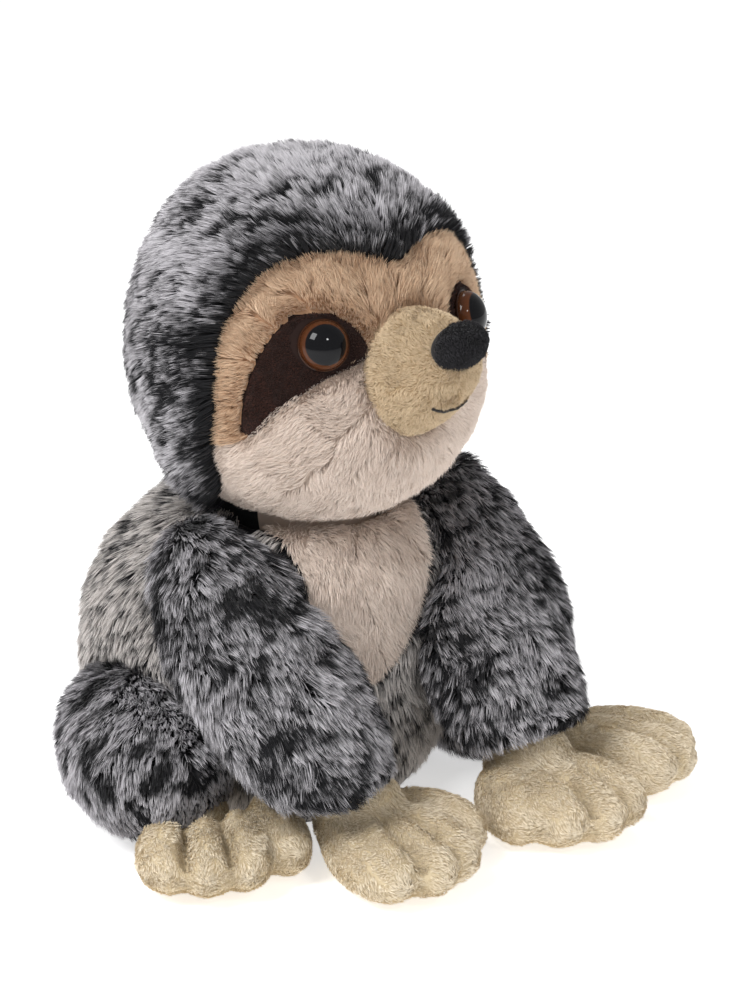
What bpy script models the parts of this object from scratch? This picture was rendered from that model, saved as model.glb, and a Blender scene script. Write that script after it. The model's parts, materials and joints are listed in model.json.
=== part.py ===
"""Seated plush sloth: sewn fur panels over fibre stuffing, with a pellet bag in the seat.

The toy faces -Y and its right side is at -X. Every form is built about the plane X = 0 on a
floor at Z = 0, and the finished toy is moved as one so that its box is centred on the origin.
"""

from dataclasses import dataclass, replace
from math import atan2, copysign, cos, radians, sin, sqrt

import bmesh
import bpy
import numpy
from mathutils import Matrix, Vector

# Clearance between pieces that touch, and how far a cutter runs past what it cuts
GAP = 0.0003
OVERRUN = 0.040
FLAT_CUT = 0.0005

# Thickness of each sewn cover, pile and backing together
FUR_WALL = 0.006
HEAD_WALL = 0.0055
PAW_WALL = 0.004
BASE_WALL = 0.003
MUZZLE_WALL = 0.0028

# How far the shorter piles lie below the long grey fur
FOREHEAD_STEP = 0.0010
CHEEK_STEP = 0.0016
PATCH_STEP = 0.0030
BIB_STEP = 0.0012

# Neck, and how far the chest rises and the chin drops past its middle
NECK_RADIUS = 0.0255
NECK_HEIGHT = 0.095
NECK_SET_BACK = 0.012
CHEST_RISE = 0.009
CHIN_DROP = 0.0075
HEAD_TURN_DEG = 24
HEAD_NOD_DEG = 10

# Torso
TORSO_WIDTH = 0.124
TORSO_DEPTH = 0.108
TORSO_TOP = NECK_HEIGHT + CHEST_RISE
TORSO_SINK = 0.014
TORSO_SET_BACK = 0.024
# along, width, depth and lean, the last as a share of the depth
TORSO_STATION_SHARES = (
    (0.0, 1.05, 1.06, 0.00),
    (0.4, 1.00, 1.00, 0.03),
    (0.6, 0.985, 0.985, 0.02),
    (0.8, 0.97, 1.03, -0.035),
    (1.0, 0.90, 0.97, -0.11),
)
# Bib outline, right half: shares of half the torso's width and of its height
BIB_SHARES = (
    (0.0, 0.42),
    (0.10, 0.43),
    (0.30, 0.60),
    (0.37, 0.80),
    (0.37, 1.10),
    (0.0, 1.10),
)

# Pellet bag in the seat
PELLET_BAG_WIDTH = 0.044
PELLET_BAG_DEPTH = 0.062
PELLET_BAG_HEIGHT = 0.026

# Head
HEAD_WIDTH = 0.108
HEAD_DEPTH = 0.098
HEAD_HEIGHT = 0.107
HEAD_BOTTOM = NECK_HEIGHT - CHIN_DROP
HEAD_SET_BACK = 0.0065
HEAD_STATION_SHARES = (
    (0.0, 0.89, 0.92, -0.050),
    (0.35, 1.00, 1.00, -0.015),
    (0.7, 0.93, 0.94, 0.025),
    (1.0, 0.85, 0.90, 0.055),
)
# Seam outlines, one half: shares of half the head's width and of its height
FACE_SHARES = (
    (0.0, 0.745),
    (0.10, 0.765),
    (0.28, 0.795),
    (0.47, 0.787),
    (0.64, 0.742),
    (0.79, 0.635),
    (0.87, 0.51),
    (0.88, 0.37),
    (0.85, 0.27),
    (0.72, 0.16),
    (0.50, 0.075),
    (0.0, -0.05),
)
CHEEK_SHARES = (
    (0.0, 0.535),
    (0.24, 0.535),
    (0.364, 0.508),
    (0.485, 0.488),
    (0.60, 0.447),
    (0.70, 0.400),
    (0.80, 0.315),
    (1.20, 0.215),
    (1.20, -0.20),
    (0.0, -0.20),
)
PATCH_SHARES = (
    (0.24, 0.535),
    (0.30, 0.600),
    (0.395, 0.636),
    (0.50, 0.643),
    (0.62, 0.610),
    (0.72, 0.542),
    (0.79, 0.473),
    (0.82, 0.394),
    (0.80, 0.315),
    (0.70, 0.400),
    (0.60, 0.447),
    (0.485, 0.488),
    (0.364, 0.508),
)

# Safety eyes, placed as shares of the head's width and height
EYE_SPREAD_SHARE = 0.236
EYE_HEIGHT_SHARE = 0.567
EYE_RADIUS = 0.0075
EYE_DOME = 0.0055
EYE_RIM = 0.0008
EYE_SPREAD = HEAD_WIDTH * EYE_SPREAD_SHARE
EYE_HEIGHT = HEAD_BOTTOM + HEAD_HEIGHT * EYE_HEIGHT_SHARE
EYE_SINK = 0.0009
STEM_RADIUS = 0.0022
STEM_LENGTH = 0.011
WASHER_RADIUS = 0.0062
WASHER_WALL = 0.0015
WASHER_STEP = 0.0017

# Muzzle, nose and mouth, placed as shares of the head's height
MUZZLE_ROOT_SHARE = 0.430
MUZZLE_TIP_SHARE = 0.523
NOSE_SHARE = 0.573
MOUTH_SHARE = 0.405
MUZZLE_WIDTH = 0.033
MUZZLE_HEIGHT = 0.037
MUZZLE_ROOT = Vector((0, -0.022, HEAD_BOTTOM + HEAD_HEIGHT * MUZZLE_ROOT_SHARE))
MUZZLE_TIP = Vector((0, -0.0595, HEAD_BOTTOM + HEAD_HEIGHT * MUZZLE_TIP_SHARE))
MUZZLE_STATION_SHARES = (
    (0.0, 1.00, 1.00, 0.0),
    (0.5, 0.96, 0.92, 0.02),
    (1.0, 0.72, 0.60, 0.10),
)
NOSE_WIDTH = 0.018
NOSE_HEIGHT = 0.0145
NOSE_THICKNESS = 0.0115
NOSE_PLACE = Vector((0, -0.0563, HEAD_BOTTOM + HEAD_HEIGHT * NOSE_SHARE))
NOSE_TILT_DEG = 28
MOUTH_WIDTH = 0.013
MOUTH_HEIGHT = HEAD_BOTTOM + HEAD_HEIGHT * MOUTH_SHARE
MOUTH_SAG = 0.0022
MOUTH_THREAD = 0.0006
MOUTH_POINTS = 9
MOUTH_SEARCH_STEPS = 30

# Arms: the shoulder and the far end of the sleeve's form, right and left alike
SHOULDER = Vector((0.044, -0.004, 0.080))
SLEEVE_END = Vector((0.037, -0.062, 0.004))
SHOULDER_RADIUS = 0.0215
ARM_WIDTH = 0.062
ARM_DEPTH = 0.043
ARM_STATION_SHARES = (
    (0.0, 0.66, 0.92, 0.0),
    (0.35, 0.90, 1.00, 0.0),
    (0.7, 1.00, 1.00, 0.0),
    (1.0, 1.02, 0.95, 0.0),
)
ARM_LIFT_DEG = 50
ARM_AXIS_DEG = 25
CUFF_CLEAR = 0.0205

# Paws, and where each wrist and ankle stands
PAW_HEIGHT = 0.0190
THUMB_WIDTH = 0.0185
WRIST_RADIUS = 0.0140
WRIST_HEIGHT = 0.0135
HAND_FLEX_DEG = 30
HAND_LENGTH = 0.053
HAND_WIDTH = 0.042
ANKLE_RADIUS = 0.0095
FOOT_LENGTH = 0.050
FOOT_WIDTH = 0.042
FOOT_YAW_DEG = 32
WRISTS = {
    "right": Vector((-0.024, -0.044, WRIST_HEIGHT)),
    "left": Vector((0.036, -0.048, WRIST_HEIGHT)),
}
ANKLES = {
    "right": Vector((-0.054, -0.009, ANKLE_RADIUS)),
    "left": Vector((0.064, -0.035, ANKLE_RADIUS)),
}
# Fingers: side step as a share of the paw's width, reach as a share of its length
FINGER_SHARES = ((-0.27, 0.92), (0.0, 1.00), (0.27, 0.94))
FINGER_WIDTH_SHARE = 0.52
FINGER_START_SHARE = 0.50
# Thumbs: side step and reach. The left foot's is folded back behind the left hand
THUMB_SHARES = {
    "hand_right": (0.62, 0.72),
    "hand_left": (0.50, 0.72),
    "foot_right": (0.62, 0.74),
    "foot_left": (0.22, 0.50),
}
FINGER_STATION_SHARES = (
    (0.0, 0.80, 0.95, 0.0),
    (0.6, 1.00, 1.00, 0.0),
    (1.0, 0.92, 0.90, 0.0),
)

# Legs
HIP = Vector((0.050, 0.024, 0.026))
HIP_RADIUS = 0.0255
LEG_ENDS = {
    "right": Vector((-0.062, -0.026, 0.020)),
    "left": Vector((0.062, -0.036, 0.019)),
}
LEG_WIDTH = 0.052
LEG_HEIGHT = 0.053
LEG_STATION_SHARES = (
    (0.0, 1.00, 1.00, 0.0),
    (0.45, 1.00, 1.00, 0.0),
    (1.0, 0.86, 0.80, 0.0),
)
LEG_SPLAY_DEG = 30

# Places along a joint's range at which the room that it needs is cut, and how roomy it is
HEAD_SWEEP_SHARES = (0.0, 0.50, 1.0)
LIMB_SWEEP_SHARES = (0.0, 0.33, 0.67, 1.0)
SWEEP_ROOM = 0.0010

# Mesh density: sides and rings of the large forms, the limbs and the fingers
LARGE = (18, 10)
LIMB = (12, 8)
SMALL = (8, 6)
BALL = (20, 6)
NECK_BALL = (20, 12)
ROD_SIDES = 16
EYE_RINGS = 6
SOFT_FULLNESS = 2.6
LIMB_FULLNESS = 3.0
ROUND_FULLNESS = 2.0

# Pieces cut so often that the exact solver loses faces, so they use the manifold one
MUCH_CUT = (
    "back_fur",
    "bib_panel",
    "torso_stuffing",
    "sleeve_",
    "arm_stuffing_",
    "head_room",
    "torso_room",
    "thigh_room",
)

ACROSS = Vector((1, 0, 0))
UPRIGHT = Vector((0, 0, 1))

COLOURS = {
    "grey_fur": (0.30, 0.30, 0.31),
    "tan_plush": (0.62, 0.46, 0.31),
    "cream_plush": (0.72, 0.62, 0.53),
    "brown_velboa": (0.028, 0.011, 0.008),
    "khaki_plush": (0.52, 0.42, 0.26),
    "black_plush": (0.012, 0.012, 0.015),
    "black_thread": (0.010, 0.010, 0.011),
    "eye_plastic": (0.045, 0.018, 0.010),
    "washer_plastic": (0.80, 0.80, 0.78),
    "fibre": (0.86, 0.86, 0.84),
    "pellet_cloth": (0.70, 0.70, 0.68),
    "sand_plush": (0.63, 0.51, 0.34),
}
ROUGHNESS = {"eye_plastic": 0.08, "washer_plastic": 0.45}


@dataclass
class Form:
    """A stuffed form: a unit sphere pulled out from root to tip through elliptical sections."""

    root: Vector
    tip: Vector
    across: Vector
    width: float
    depth: float
    station_shares: tuple
    fullness: float
    density: tuple

    def frame(self):
        """The directions along, across and deep, each at right angles to the others."""
        along = (self.tip - self.root).normalized()
        deep = along.cross(self.across).normalized()
        return along, deep.cross(along), deep

    def section(self, share, inset=0.0):
        """Centre, half width and half depth where the form is cut, a share of the way along."""
        along, _, deep = self.frame()
        root = self.root + along * inset
        tip = self.tip - along * inset
        wide, thick, lean = (eased(self.station_shares, share, column) for column in (1, 2, 3))
        swell = max(1 - abs(2 * share - 1) ** self.fullness, 0) ** (1 / self.fullness)
        centre = root.lerp(tip, share) + deep * lean * self.depth
        half_width = (self.width / 2 * wide - inset) * swell
        half_depth = (self.depth / 2 * thick - inset) * swell
        return centre, half_width, half_depth


def eased(stations, share, column):
    """A smooth curve through one column of the stations."""
    places = [station[0] for station in stations]
    values = [station[column] for station in stations]
    slopes = numpy.gradient(values, places)
    place = min(max(int(numpy.searchsorted(places, share)) - 1, 0), len(places) - 2)
    span = places[place + 1] - places[place]
    part = (share - places[place]) / span
    rest = 1 - part
    start = values[place] + part * span * slopes[place]
    end = values[place + 1] - rest * span * slopes[place + 1]
    blend = part * part * (3 - 2 * part)
    return float(start * (1 - blend) + end * blend)


def clear_scene():
    for thing in list(bpy.data.objects):
        bpy.data.objects.remove(thing, do_unlink=True)


def collection_named(name):
    found = bpy.data.collections.new(name)
    bpy.context.scene.collection.children.link(found)
    return found


def material_named(name):
    found = bpy.data.materials.get(name)
    if found:
        return found
    found = bpy.data.materials.new(name)
    found.use_nodes = True
    shader = found.node_tree.nodes["Principled BSDF"]
    shader.inputs["Base Color"].default_value = (*COLOURS[name], 1)
    shader.inputs["Roughness"].default_value = ROUGHNESS.get(name, 0.95)
    shader.inputs["Metallic"].default_value = 0
    return found


def object_from(bm, name, collection, material=None):
    """A new object that takes the mesh, shaded smooth, under the toy's own empty."""
    mesh = bpy.data.meshes.new(name)
    bm.normal_update()
    bmesh.ops.recalc_face_normals(bm, faces=bm.faces)
    if bm.calc_volume(signed=True) < 0:
        bmesh.ops.reverse_faces(bm, faces=bm.faces)
    bm.to_mesh(mesh)
    bm.free()
    mesh.shade_smooth()
    made = bpy.data.objects.new(name, mesh)
    collection.objects.link(made)
    made.parent = stand
    if material:
        mesh.materials.append(material_named(material))
    return made


def helper(bm, name):
    """A cutter: never part of the toy, and drawn as wire."""
    made = object_from(bm, name, cutters)
    made.hide_render = True
    made.display_type = "WIRE"
    return made


def form_mesh(form, inset=0.0):
    """The form's surface, set in by an even amount."""
    sides, rings = form.density
    bm = bmesh.new()
    bmesh.ops.create_uvsphere(bm, u_segments=sides, v_segments=rings, radius=1)
    _, across, deep = form.frame()
    for vertex in bm.verts:
        turn = atan2(vertex.co.y, vertex.co.x)
        at_pole = abs(vertex.co.z) > 1 - 1e-6
        share = (1 + vertex.co.z) / 2
        centre, half_width, half_depth = form.section(share, inset)
        if at_pole:
            vertex.co = centre
        else:
            side = across * half_width * cos(turn)
            vertex.co = centre + side + deep * half_depth * sin(turn)
    bmesh.ops.triangulate(bm, faces=bm.faces)
    return bm


def form_part(name, form, material, inset=0.0):
    return object_from(form_mesh(form, inset), name, toy, material)


def form_cutter(name, form, inset=0.0, turn=None):
    bm = form_mesh(form, inset)
    if turn:
        bm.transform(turn)
    return helper(bm, name)


def turn_about(centre, axis, degrees):
    """The matrix that turns a mesh about a line through centre."""
    away = Matrix.Translation(centre)
    return away @ Matrix.Rotation(radians(degrees), 4, axis) @ away.inverted()


def pocket_radius(radius, density, one_axis=True):
    """The radius of a pocket that a ball turns in, about its own axis alone or about any."""
    sides, rings = density
    flat_share = cos(radians(180) / sides)
    if not one_axis:
        flat_share *= cos(radians(90) / rings)
    return radius / flat_share + GAP / 2


def ball_cutter(name, centre, radius, axis, density=BALL):
    """A ball with its poles on a joint's axis, so that its sides stay in step as it turns."""
    sides, rings = density
    bm = bmesh.new()
    bmesh.ops.create_uvsphere(bm, u_segments=sides, v_segments=rings, radius=radius)
    bm.transform(Matrix.Translation(centre) @ axis.to_track_quat("Z", "Y").to_matrix().to_4x4())
    return helper(bm, name)


def swept_cutter(name, form, turns, ball=None):
    """The room that a form needs at each of several turns, less the ball that it turns about."""
    first, *others = [
        form_cutter(f"{name}_{number}", form, -SWEEP_ROOM, turn)
        for number, turn in enumerate(turns)
    ]
    joined_with(first, *others)
    if ball:
        cut_by(first, ball)
    return first


def box_cutter(name, low, high, turn=None):
    """A box between two corners; turn is a matrix that is applied afterwards."""
    bm = bmesh.new()
    bmesh.ops.create_cube(bm, size=1)
    bmesh.ops.scale(bm, verts=bm.verts, vec=high - low)
    bmesh.ops.translate(bm, verts=bm.verts, vec=(low + high) / 2)
    if turn:
        bm.transform(turn)
    return helper(bm, name)


def prism_cutter(name, outline, front, back):
    """An outline in X and Z, carried from front to back along Y."""
    bm = bmesh.new()
    corners = [bm.verts.new((x, front, z)) for x, z in outline]
    face = bm.faces.new(corners)
    pushed = bmesh.ops.extrude_face_region(bm, geom=[face])
    moved = [item for item in pushed["geom"] if isinstance(item, bmesh.types.BMVert)]
    bmesh.ops.translate(bm, verts=moved, vec=Vector((0, back - front, 0)))
    return helper(bm, name)


def rod_cutter(name, matrix, radius, low, high):
    """A rod about the matrix's own Z axis, between two heights on it."""
    bm = bmesh.new()
    bmesh.ops.create_cone(
        bm, cap_ends=True, segments=ROD_SIDES, radius1=radius, radius2=radius, depth=high - low
    )
    bmesh.ops.translate(bm, verts=bm.verts, vec=Vector((0, 0, (low + high) / 2)))
    bm.transform(matrix)
    return helper(bm, name)


def boolean(part, other, operation):
    cut = part.modifiers.new(f"{operation.lower()}_{other.name}", "BOOLEAN")
    cut.operation = operation
    cut.object = other
    cut.solver = "MANIFOLD" if part.name.startswith(MUCH_CUT) else "EXACT"


def cut_by(part, *others):
    for other in others:
        boolean(part, other, "DIFFERENCE")


def kept_in(part, other):
    boolean(part, other, "INTERSECT")


def joined_with(part, *others):
    for other in others:
        boolean(part, other, "UNION")


def mirrored(point, side):
    """A point given for the left half, on the side asked for: 1 is left and -1 is right."""
    return Vector((point.x * side, point.y, point.z))


def half_outline(shares, width, bottom, height, side):
    """One half of a seam outline, in metres."""
    return [(x * side * width / 2, bottom + z * height) for x, z in shares]


def grown(outline, amount):
    """An outline whose points stand an amount farther from its middle, in X and in Z."""
    middle_x = sum(x for x, _ in outline) / len(outline)
    middle_z = sum(z for _, z in outline) / len(outline)
    return [
        (x + amount * copysign(1, x - middle_x), z + amount * copysign(1, z - middle_z))
        for x, z in outline
    ]


def whole_outline(shares, width, bottom, height):
    """Both halves of an outline whose first and last points are on the middle plane."""
    left = half_outline(shares, width, bottom, height, 1)
    right = half_outline(shares, width, bottom, height, -1)
    return left + right[-2:0:-1]


def side_name(side):
    return "left" if side > 0 else "right"


# Forms that several pieces are cut from

torso_form = Form(
    root=Vector((0, TORSO_SET_BACK, -TORSO_SINK)),
    tip=Vector((0, TORSO_SET_BACK, TORSO_TOP)),
    across=ACROSS,
    width=TORSO_WIDTH,
    depth=TORSO_DEPTH,
    station_shares=TORSO_STATION_SHARES,
    fullness=SOFT_FULLNESS,
    density=LARGE,
)
head_form = Form(
    root=Vector((0, HEAD_SET_BACK, HEAD_BOTTOM)),
    tip=Vector((0, HEAD_SET_BACK, HEAD_BOTTOM + HEAD_HEIGHT)),
    across=ACROSS,
    width=HEAD_WIDTH,
    depth=HEAD_DEPTH,
    station_shares=HEAD_STATION_SHARES,
    fullness=SOFT_FULLNESS,
    density=LARGE,
)
muzzle_form = Form(
    root=MUZZLE_ROOT,
    tip=MUZZLE_TIP,
    across=ACROSS,
    width=MUZZLE_WIDTH,
    depth=MUZZLE_HEIGHT,
    station_shares=MUZZLE_STATION_SHARES,
    fullness=SOFT_FULLNESS,
    density=LIMB,
)
neck_centre = Vector((0, NECK_SET_BACK, NECK_HEIGHT))


def arm_form(side):
    """The sleeve: its upper end is rounded about the shoulder."""
    shoulder = mirrored(SHOULDER, side)
    end = mirrored(SLEEVE_END, side)
    along = (end - shoulder).normalized()
    return Form(
        root=shoulder - along * SHOULDER_RADIUS,
        tip=end,
        across=ACROSS,
        width=ARM_WIDTH,
        depth=ARM_DEPTH,
        station_shares=ARM_STATION_SHARES,
        fullness=LIMB_FULLNESS,
        density=LIMB,
    )


def leg_form(side):
    """The thigh: its back end is rounded about the hip."""
    hip = mirrored(HIP, side)
    end = LEG_ENDS[side_name(side)]
    along = (end - hip).normalized()
    return Form(
        root=hip - along * HIP_RADIUS,
        tip=end,
        across=ACROSS,
        width=LEG_WIDTH,
        depth=LEG_HEIGHT,
        station_shares=LEG_STATION_SHARES,
        fullness=SOFT_FULLNESS,
        density=LIMB,
    )


def finger_form(root, tip, width):
    """A finger: its underside reaches just below the floor, so that it is cut flat there."""
    return Form(
        root=root,
        tip=tip,
        across=ACROSS,
        width=width,
        depth=PAW_HEIGHT + FLAT_CUT,
        station_shares=FINGER_STATION_SHARES,
        fullness=SOFT_FULLNESS,
        density=SMALL,
    )


def arm_axis(side):
    """The line that the arm lifts about: level, and turned so that the hand also moves out."""
    return Vector((-cos(radians(ARM_AXIS_DEG)), -side * sin(radians(ARM_AXIS_DEG)), 0))


def head_turns():
    """The head's turns about the neck, each level and tilted back."""
    turns = []
    for share in HEAD_SWEEP_SHARES:
        level = turn_about(neck_centre, "Z", HEAD_TURN_DEG * (2 * share - 1))
        turns += [level, level @ turn_about(neck_centre, "X", -HEAD_NOD_DEG)]
    return turns


def head_surface(x, z, inset):
    """Place and outward direction on the front of the head form."""

    def place(at_x, at_z):
        share = (at_z - HEAD_BOTTOM - inset) / (HEAD_HEIGHT - 2 * inset)
        centre, half_width, half_depth = head_form.section(share, inset)
        return Vector((at_x, centre.y - half_depth * sqrt(1 - (at_x / half_width) ** 2), at_z))

    here = place(x, z)
    sideways = place(x + GAP, z) - here
    upwards = place(x, z + GAP) - here
    return here, sideways.cross(upwards).normalized()


def make_torso():
    """Back and side fur, bib, base, stuffing and pellet bag."""
    inner = form_cutter("torso_inner", torso_form, FUR_WALL)
    far = OVERRUN + TORSO_WIDTH
    under = box_cutter(
        "torso_under", Vector((-far, -far, -far)), Vector((far, far, BASE_WALL + GAP))
    )
    below_floor = box_cutter("floor_cut", Vector((-far, -far, -far)), Vector((far, far, 0)))
    above_base = box_cutter(
        "above_base", Vector((-far, -far, BASE_WALL)), Vector((far, far, far))
    )
    outline = whole_outline(BIB_SHARES, TORSO_WIDTH, 0, TORSO_TOP)
    bib_prism = prism_cutter("bib_prism", outline, -far, TORSO_SET_BACK)
    free_radius = pocket_radius(NECK_RADIUS, NECK_BALL, one_axis=False)
    neck = ball_cutter("neck_pocket", neck_centre, free_radius, UPRIGHT, NECK_BALL)
    head_room = swept_cutter("head_room", head_form, head_turns())

    back = form_part("back_fur", torso_form, "grey_fur")
    cut_by(back, inner, under, bib_prism, neck, head_room)
    bib = form_part("bib_panel", torso_form, "cream_plush", BIB_STEP)
    bib_limit = prism_cutter("bib_limit", grown(outline, -GAP), -far, TORSO_SET_BACK)
    kept_in(bib, bib_limit)
    cut_by(bib, inner, neck, head_room)
    base = form_part("base_panel", torso_form, "grey_fur", FUR_WALL / 2)
    cut_by(base, below_floor, above_base)

    bag_form = Form(
        root=Vector((0, TORSO_SET_BACK, BASE_WALL + GAP)),
        tip=Vector((0, TORSO_SET_BACK, BASE_WALL + GAP + PELLET_BAG_HEIGHT)),
        across=ACROSS,
        width=PELLET_BAG_WIDTH,
        depth=PELLET_BAG_DEPTH,
        station_shares=((0.0, 1.0, 1.0, 0.0), (1.0, 1.0, 1.0, 0.0)),
        fullness=SOFT_FULLNESS,
        density=LIMB,
    )
    form_part("pellet_bag", bag_form, "pellet_cloth")
    bag_pocket = form_cutter("pellet_pocket", bag_form, -GAP)
    stuffing = form_part("torso_stuffing", torso_form, "fibre", FUR_WALL + GAP)
    cut_by(stuffing, under, bag_pocket, neck, head_room)
    return (back, bib, stuffing), (back, bib, base, stuffing)


def make_neck():
    """The ball of firm fibre that the head turns and nods on."""
    bm = bmesh.new()
    sides, rings = NECK_BALL
    bmesh.ops.create_uvsphere(bm, u_segments=sides, v_segments=rings, radius=NECK_RADIUS)
    ball = object_from(bm, "neck_stuffing", toy, "fibre")
    ball.location = neck_centre


def make_head():
    """Hood, forehead, cheeks, eye patches, muzzle, nose, mouth, eyes, washers and stuffing."""
    inner = form_cutter("head_inner", head_form, HEAD_WALL)
    neck = bpy.data.objects["neck_pocket"]
    front = -(HEAD_DEPTH + OVERRUN)
    face_back = HEAD_SET_BACK
    face = whole_outline(FACE_SHARES, HEAD_WIDTH, HEAD_BOTTOM, HEAD_HEIGHT)
    hood_hole = prism_cutter("hood_hole", grown(face, GAP), front, face_back + GAP)
    face_prism = prism_cutter("face_prism", face, front, face_back)
    muzzle_hole = form_cutter("muzzle_hole", muzzle_form, MUZZLE_WALL)

    hood = form_part("hood_fur", head_form, "grey_fur")
    cut_by(hood, inner, hood_hole, neck)

    cheek_outline = whole_outline(CHEEK_SHARES, HEAD_WIDTH, HEAD_BOTTOM, HEAD_HEIGHT)
    cheek_prism = prism_cutter("cheek_prism", cheek_outline, front, face_back + OVERRUN)
    forehead_limit = prism_cutter(
        "forehead_limit",
        [(x, z + GAP) for x, z in cheek_outline],
        front,
        face_back + OVERRUN,
    )
    forehead = form_part("forehead_panel", head_form, "tan_plush", FOREHEAD_STEP)
    kept_in(forehead, face_prism)
    cut_by(forehead, inner, forehead_limit, muzzle_hole)

    stuffing = form_part("head_stuffing", head_form, "fibre", HEAD_WALL + GAP)
    cut_by(stuffing, neck)

    for side in (-1, 1):
        name = side_name(side)
        patch_outline = half_outline(PATCH_SHARES, HEAD_WIDTH, HEAD_BOTTOM, HEAD_HEIGHT, side)
        patch_prism = prism_cutter(f"patch_prism_{name}", patch_outline, front, face_back)
        hole_outline = grown(patch_outline, GAP)
        patch_hole = prism_cutter(f"patch_hole_{name}", hole_outline, front, face_back)

        cheek = form_part(f"cheek_{name}", head_form, "cream_plush", CHEEK_STEP)
        kept_in(cheek, cheek_prism)
        kept_in(cheek, face_prism)
        low_x, high_x = sorted((side * GAP / 2, -side * (OVERRUN + HEAD_WIDTH)))
        centre_box = box_cutter(
            f"cheek_half_{name}",
            Vector((low_x, front, -OVERRUN)),
            Vector((high_x, OVERRUN + HEAD_DEPTH, OVERRUN + HEAD_BOTTOM + HEAD_HEIGHT)),
        )
        cut_by(cheek, inner, centre_box, muzzle_hole, patch_hole, neck)
        cut_by(forehead, patch_hole)
        patch = form_part(f"eye_patch_{name}", head_form, "brown_velboa", PATCH_STEP)
        kept_in(patch, patch_prism)
        cut_by(patch, inner, muzzle_hole)
        make_eye(side, (patch, forehead, cheek), patch, stuffing)
    make_muzzle()


def make_eye(side, around, patch, stuffing):
    """A domed plastic eye on a stem, held from behind by a lock washer."""
    name = side_name(side)
    seat, outward = head_surface(EYE_SPREAD * side, EYE_HEIGHT, PATCH_STEP)
    turn = outward.to_track_quat("Z", "Y").to_matrix().to_4x4()
    frame = Matrix.Translation(seat - outward * EYE_SINK) @ turn

    angles = [radians(90) * ring / EYE_RINGS for ring in range(EYE_RINGS + 1)]
    arc = [(EYE_RADIUS * sin(angle), EYE_RIM + EYE_DOME * cos(angle)) for angle in angles]
    profile = arc + [
        (EYE_RADIUS, 0),
        (STEM_RADIUS, 0),
        (STEM_RADIUS, -STEM_LENGTH),
        (0, -STEM_LENGTH),
    ]
    eye = turned(f"eye_{name}", profile, "eye_plastic")
    eye.matrix_local = frame @ Matrix.Translation(Vector((0, 0, GAP)))

    wall = HEAD_WALL - PATCH_STEP - EYE_SINK
    washer_top = -(wall + WASHER_STEP)
    inner_radius = STEM_RADIUS + GAP
    ring = [
        (inner_radius, washer_top),
        (WASHER_RADIUS, washer_top),
        (WASHER_RADIUS, washer_top - WASHER_WALL),
        (inner_radius, washer_top - WASHER_WALL),
        (inner_radius, washer_top),
    ]
    washer = turned(f"lock_washer_{name}", ring, "washer_plastic")
    washer.matrix_local = frame

    seat_cut = rod_cutter(f"eye_seat_{name}", frame, EYE_RADIUS + 2 * GAP, 0, OVERRUN)
    stem_cut = rod_cutter(
        f"stem_hole_{name}", frame, STEM_RADIUS + GAP, -STEM_LENGTH - GAP, OVERRUN
    )
    washer_cut = rod_cutter(
        f"washer_pocket_{name}",
        frame,
        WASHER_RADIUS + 2 * GAP,
        washer_top - WASHER_WALL - GAP,
        0,
    )
    for panel in around:
        cut_by(panel, seat_cut)
    cut_by(patch, stem_cut)
    cut_by(stuffing, stem_cut, washer_cut)


def turned(name, profile, material):
    """A profile in radius and height, turned about Z."""
    mesh = bpy.data.meshes.new(name)
    points = [(radius, 0, height) for radius, height in profile]
    edges = [(i, i + 1) for i in range(len(points) - 1)]
    mesh.from_pydata(points, edges, [])
    made = bpy.data.objects.new(name, mesh)
    toy.objects.link(made)
    made.parent = stand
    mesh.materials.append(material_named(material))
    screw = made.modifiers.new("turned", "SCREW")
    screw.steps = ROD_SIDES
    screw.render_steps = ROD_SIDES
    screw.use_merge_vertices = True
    screw.merge_threshold = 0.00001
    screw.use_smooth_shade = True
    return made


def make_muzzle():
    """The muzzle's plush cap, the wad inside it, the nose pad and the stitched mouth."""
    face = form_cutter("muzzle_seat", head_form, FOREHEAD_STEP - GAP)
    inner = bpy.data.objects["muzzle_hole"]
    cap = form_part("muzzle_panel", muzzle_form, "khaki_plush")
    cut_by(cap, inner, face)

    wad = form_part("muzzle_stuffing", muzzle_form, "fibre", MUZZLE_WALL + GAP)
    cut_by(wad, bpy.data.objects["head_inner"])

    tilt = Matrix.Rotation(radians(NOSE_TILT_DEG), 4, "X")
    away = (tilt @ Vector((0, -1, 0))) * NOSE_THICKNESS / 2
    nose_form = Form(
        root=NOSE_PLACE - away,
        tip=NOSE_PLACE + away,
        across=ACROSS,
        width=NOSE_WIDTH,
        depth=NOSE_HEIGHT,
        station_shares=((0.0, 1.0, 1.0, 0.0), (1.0, 1.0, 1.0, 0.0)),
        fullness=ROUND_FULLNESS,
        density=LIMB,
    )
    nose = form_part("nose_pad", nose_form, "black_plush")
    nose_seat = form_cutter("nose_seat", muzzle_form, -GAP)
    cut_by(nose, nose_seat)
    make_mouth()


def muzzle_front(x, z):
    """The place on the front of the muzzle that has this X and Z."""
    _, _, deep = muzzle_form.frame()
    low, high = 0.5, 1.0
    for _ in range(MOUTH_SEARCH_STEPS):
        share = (low + high) / 2
        centre, half_width, half_depth = muzzle_form.section(share)
        sideways = x / max(half_width, GAP)
        height = (z - centre.z) / deep.z / max(half_depth, GAP)
        if sideways**2 + height**2 < 1:
            low = share
        else:
            high = share
    centre, _, _ = muzzle_form.section(low)
    return Vector((x, centre.y + deep.y * (z - centre.z) / deep.z, z))


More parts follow.
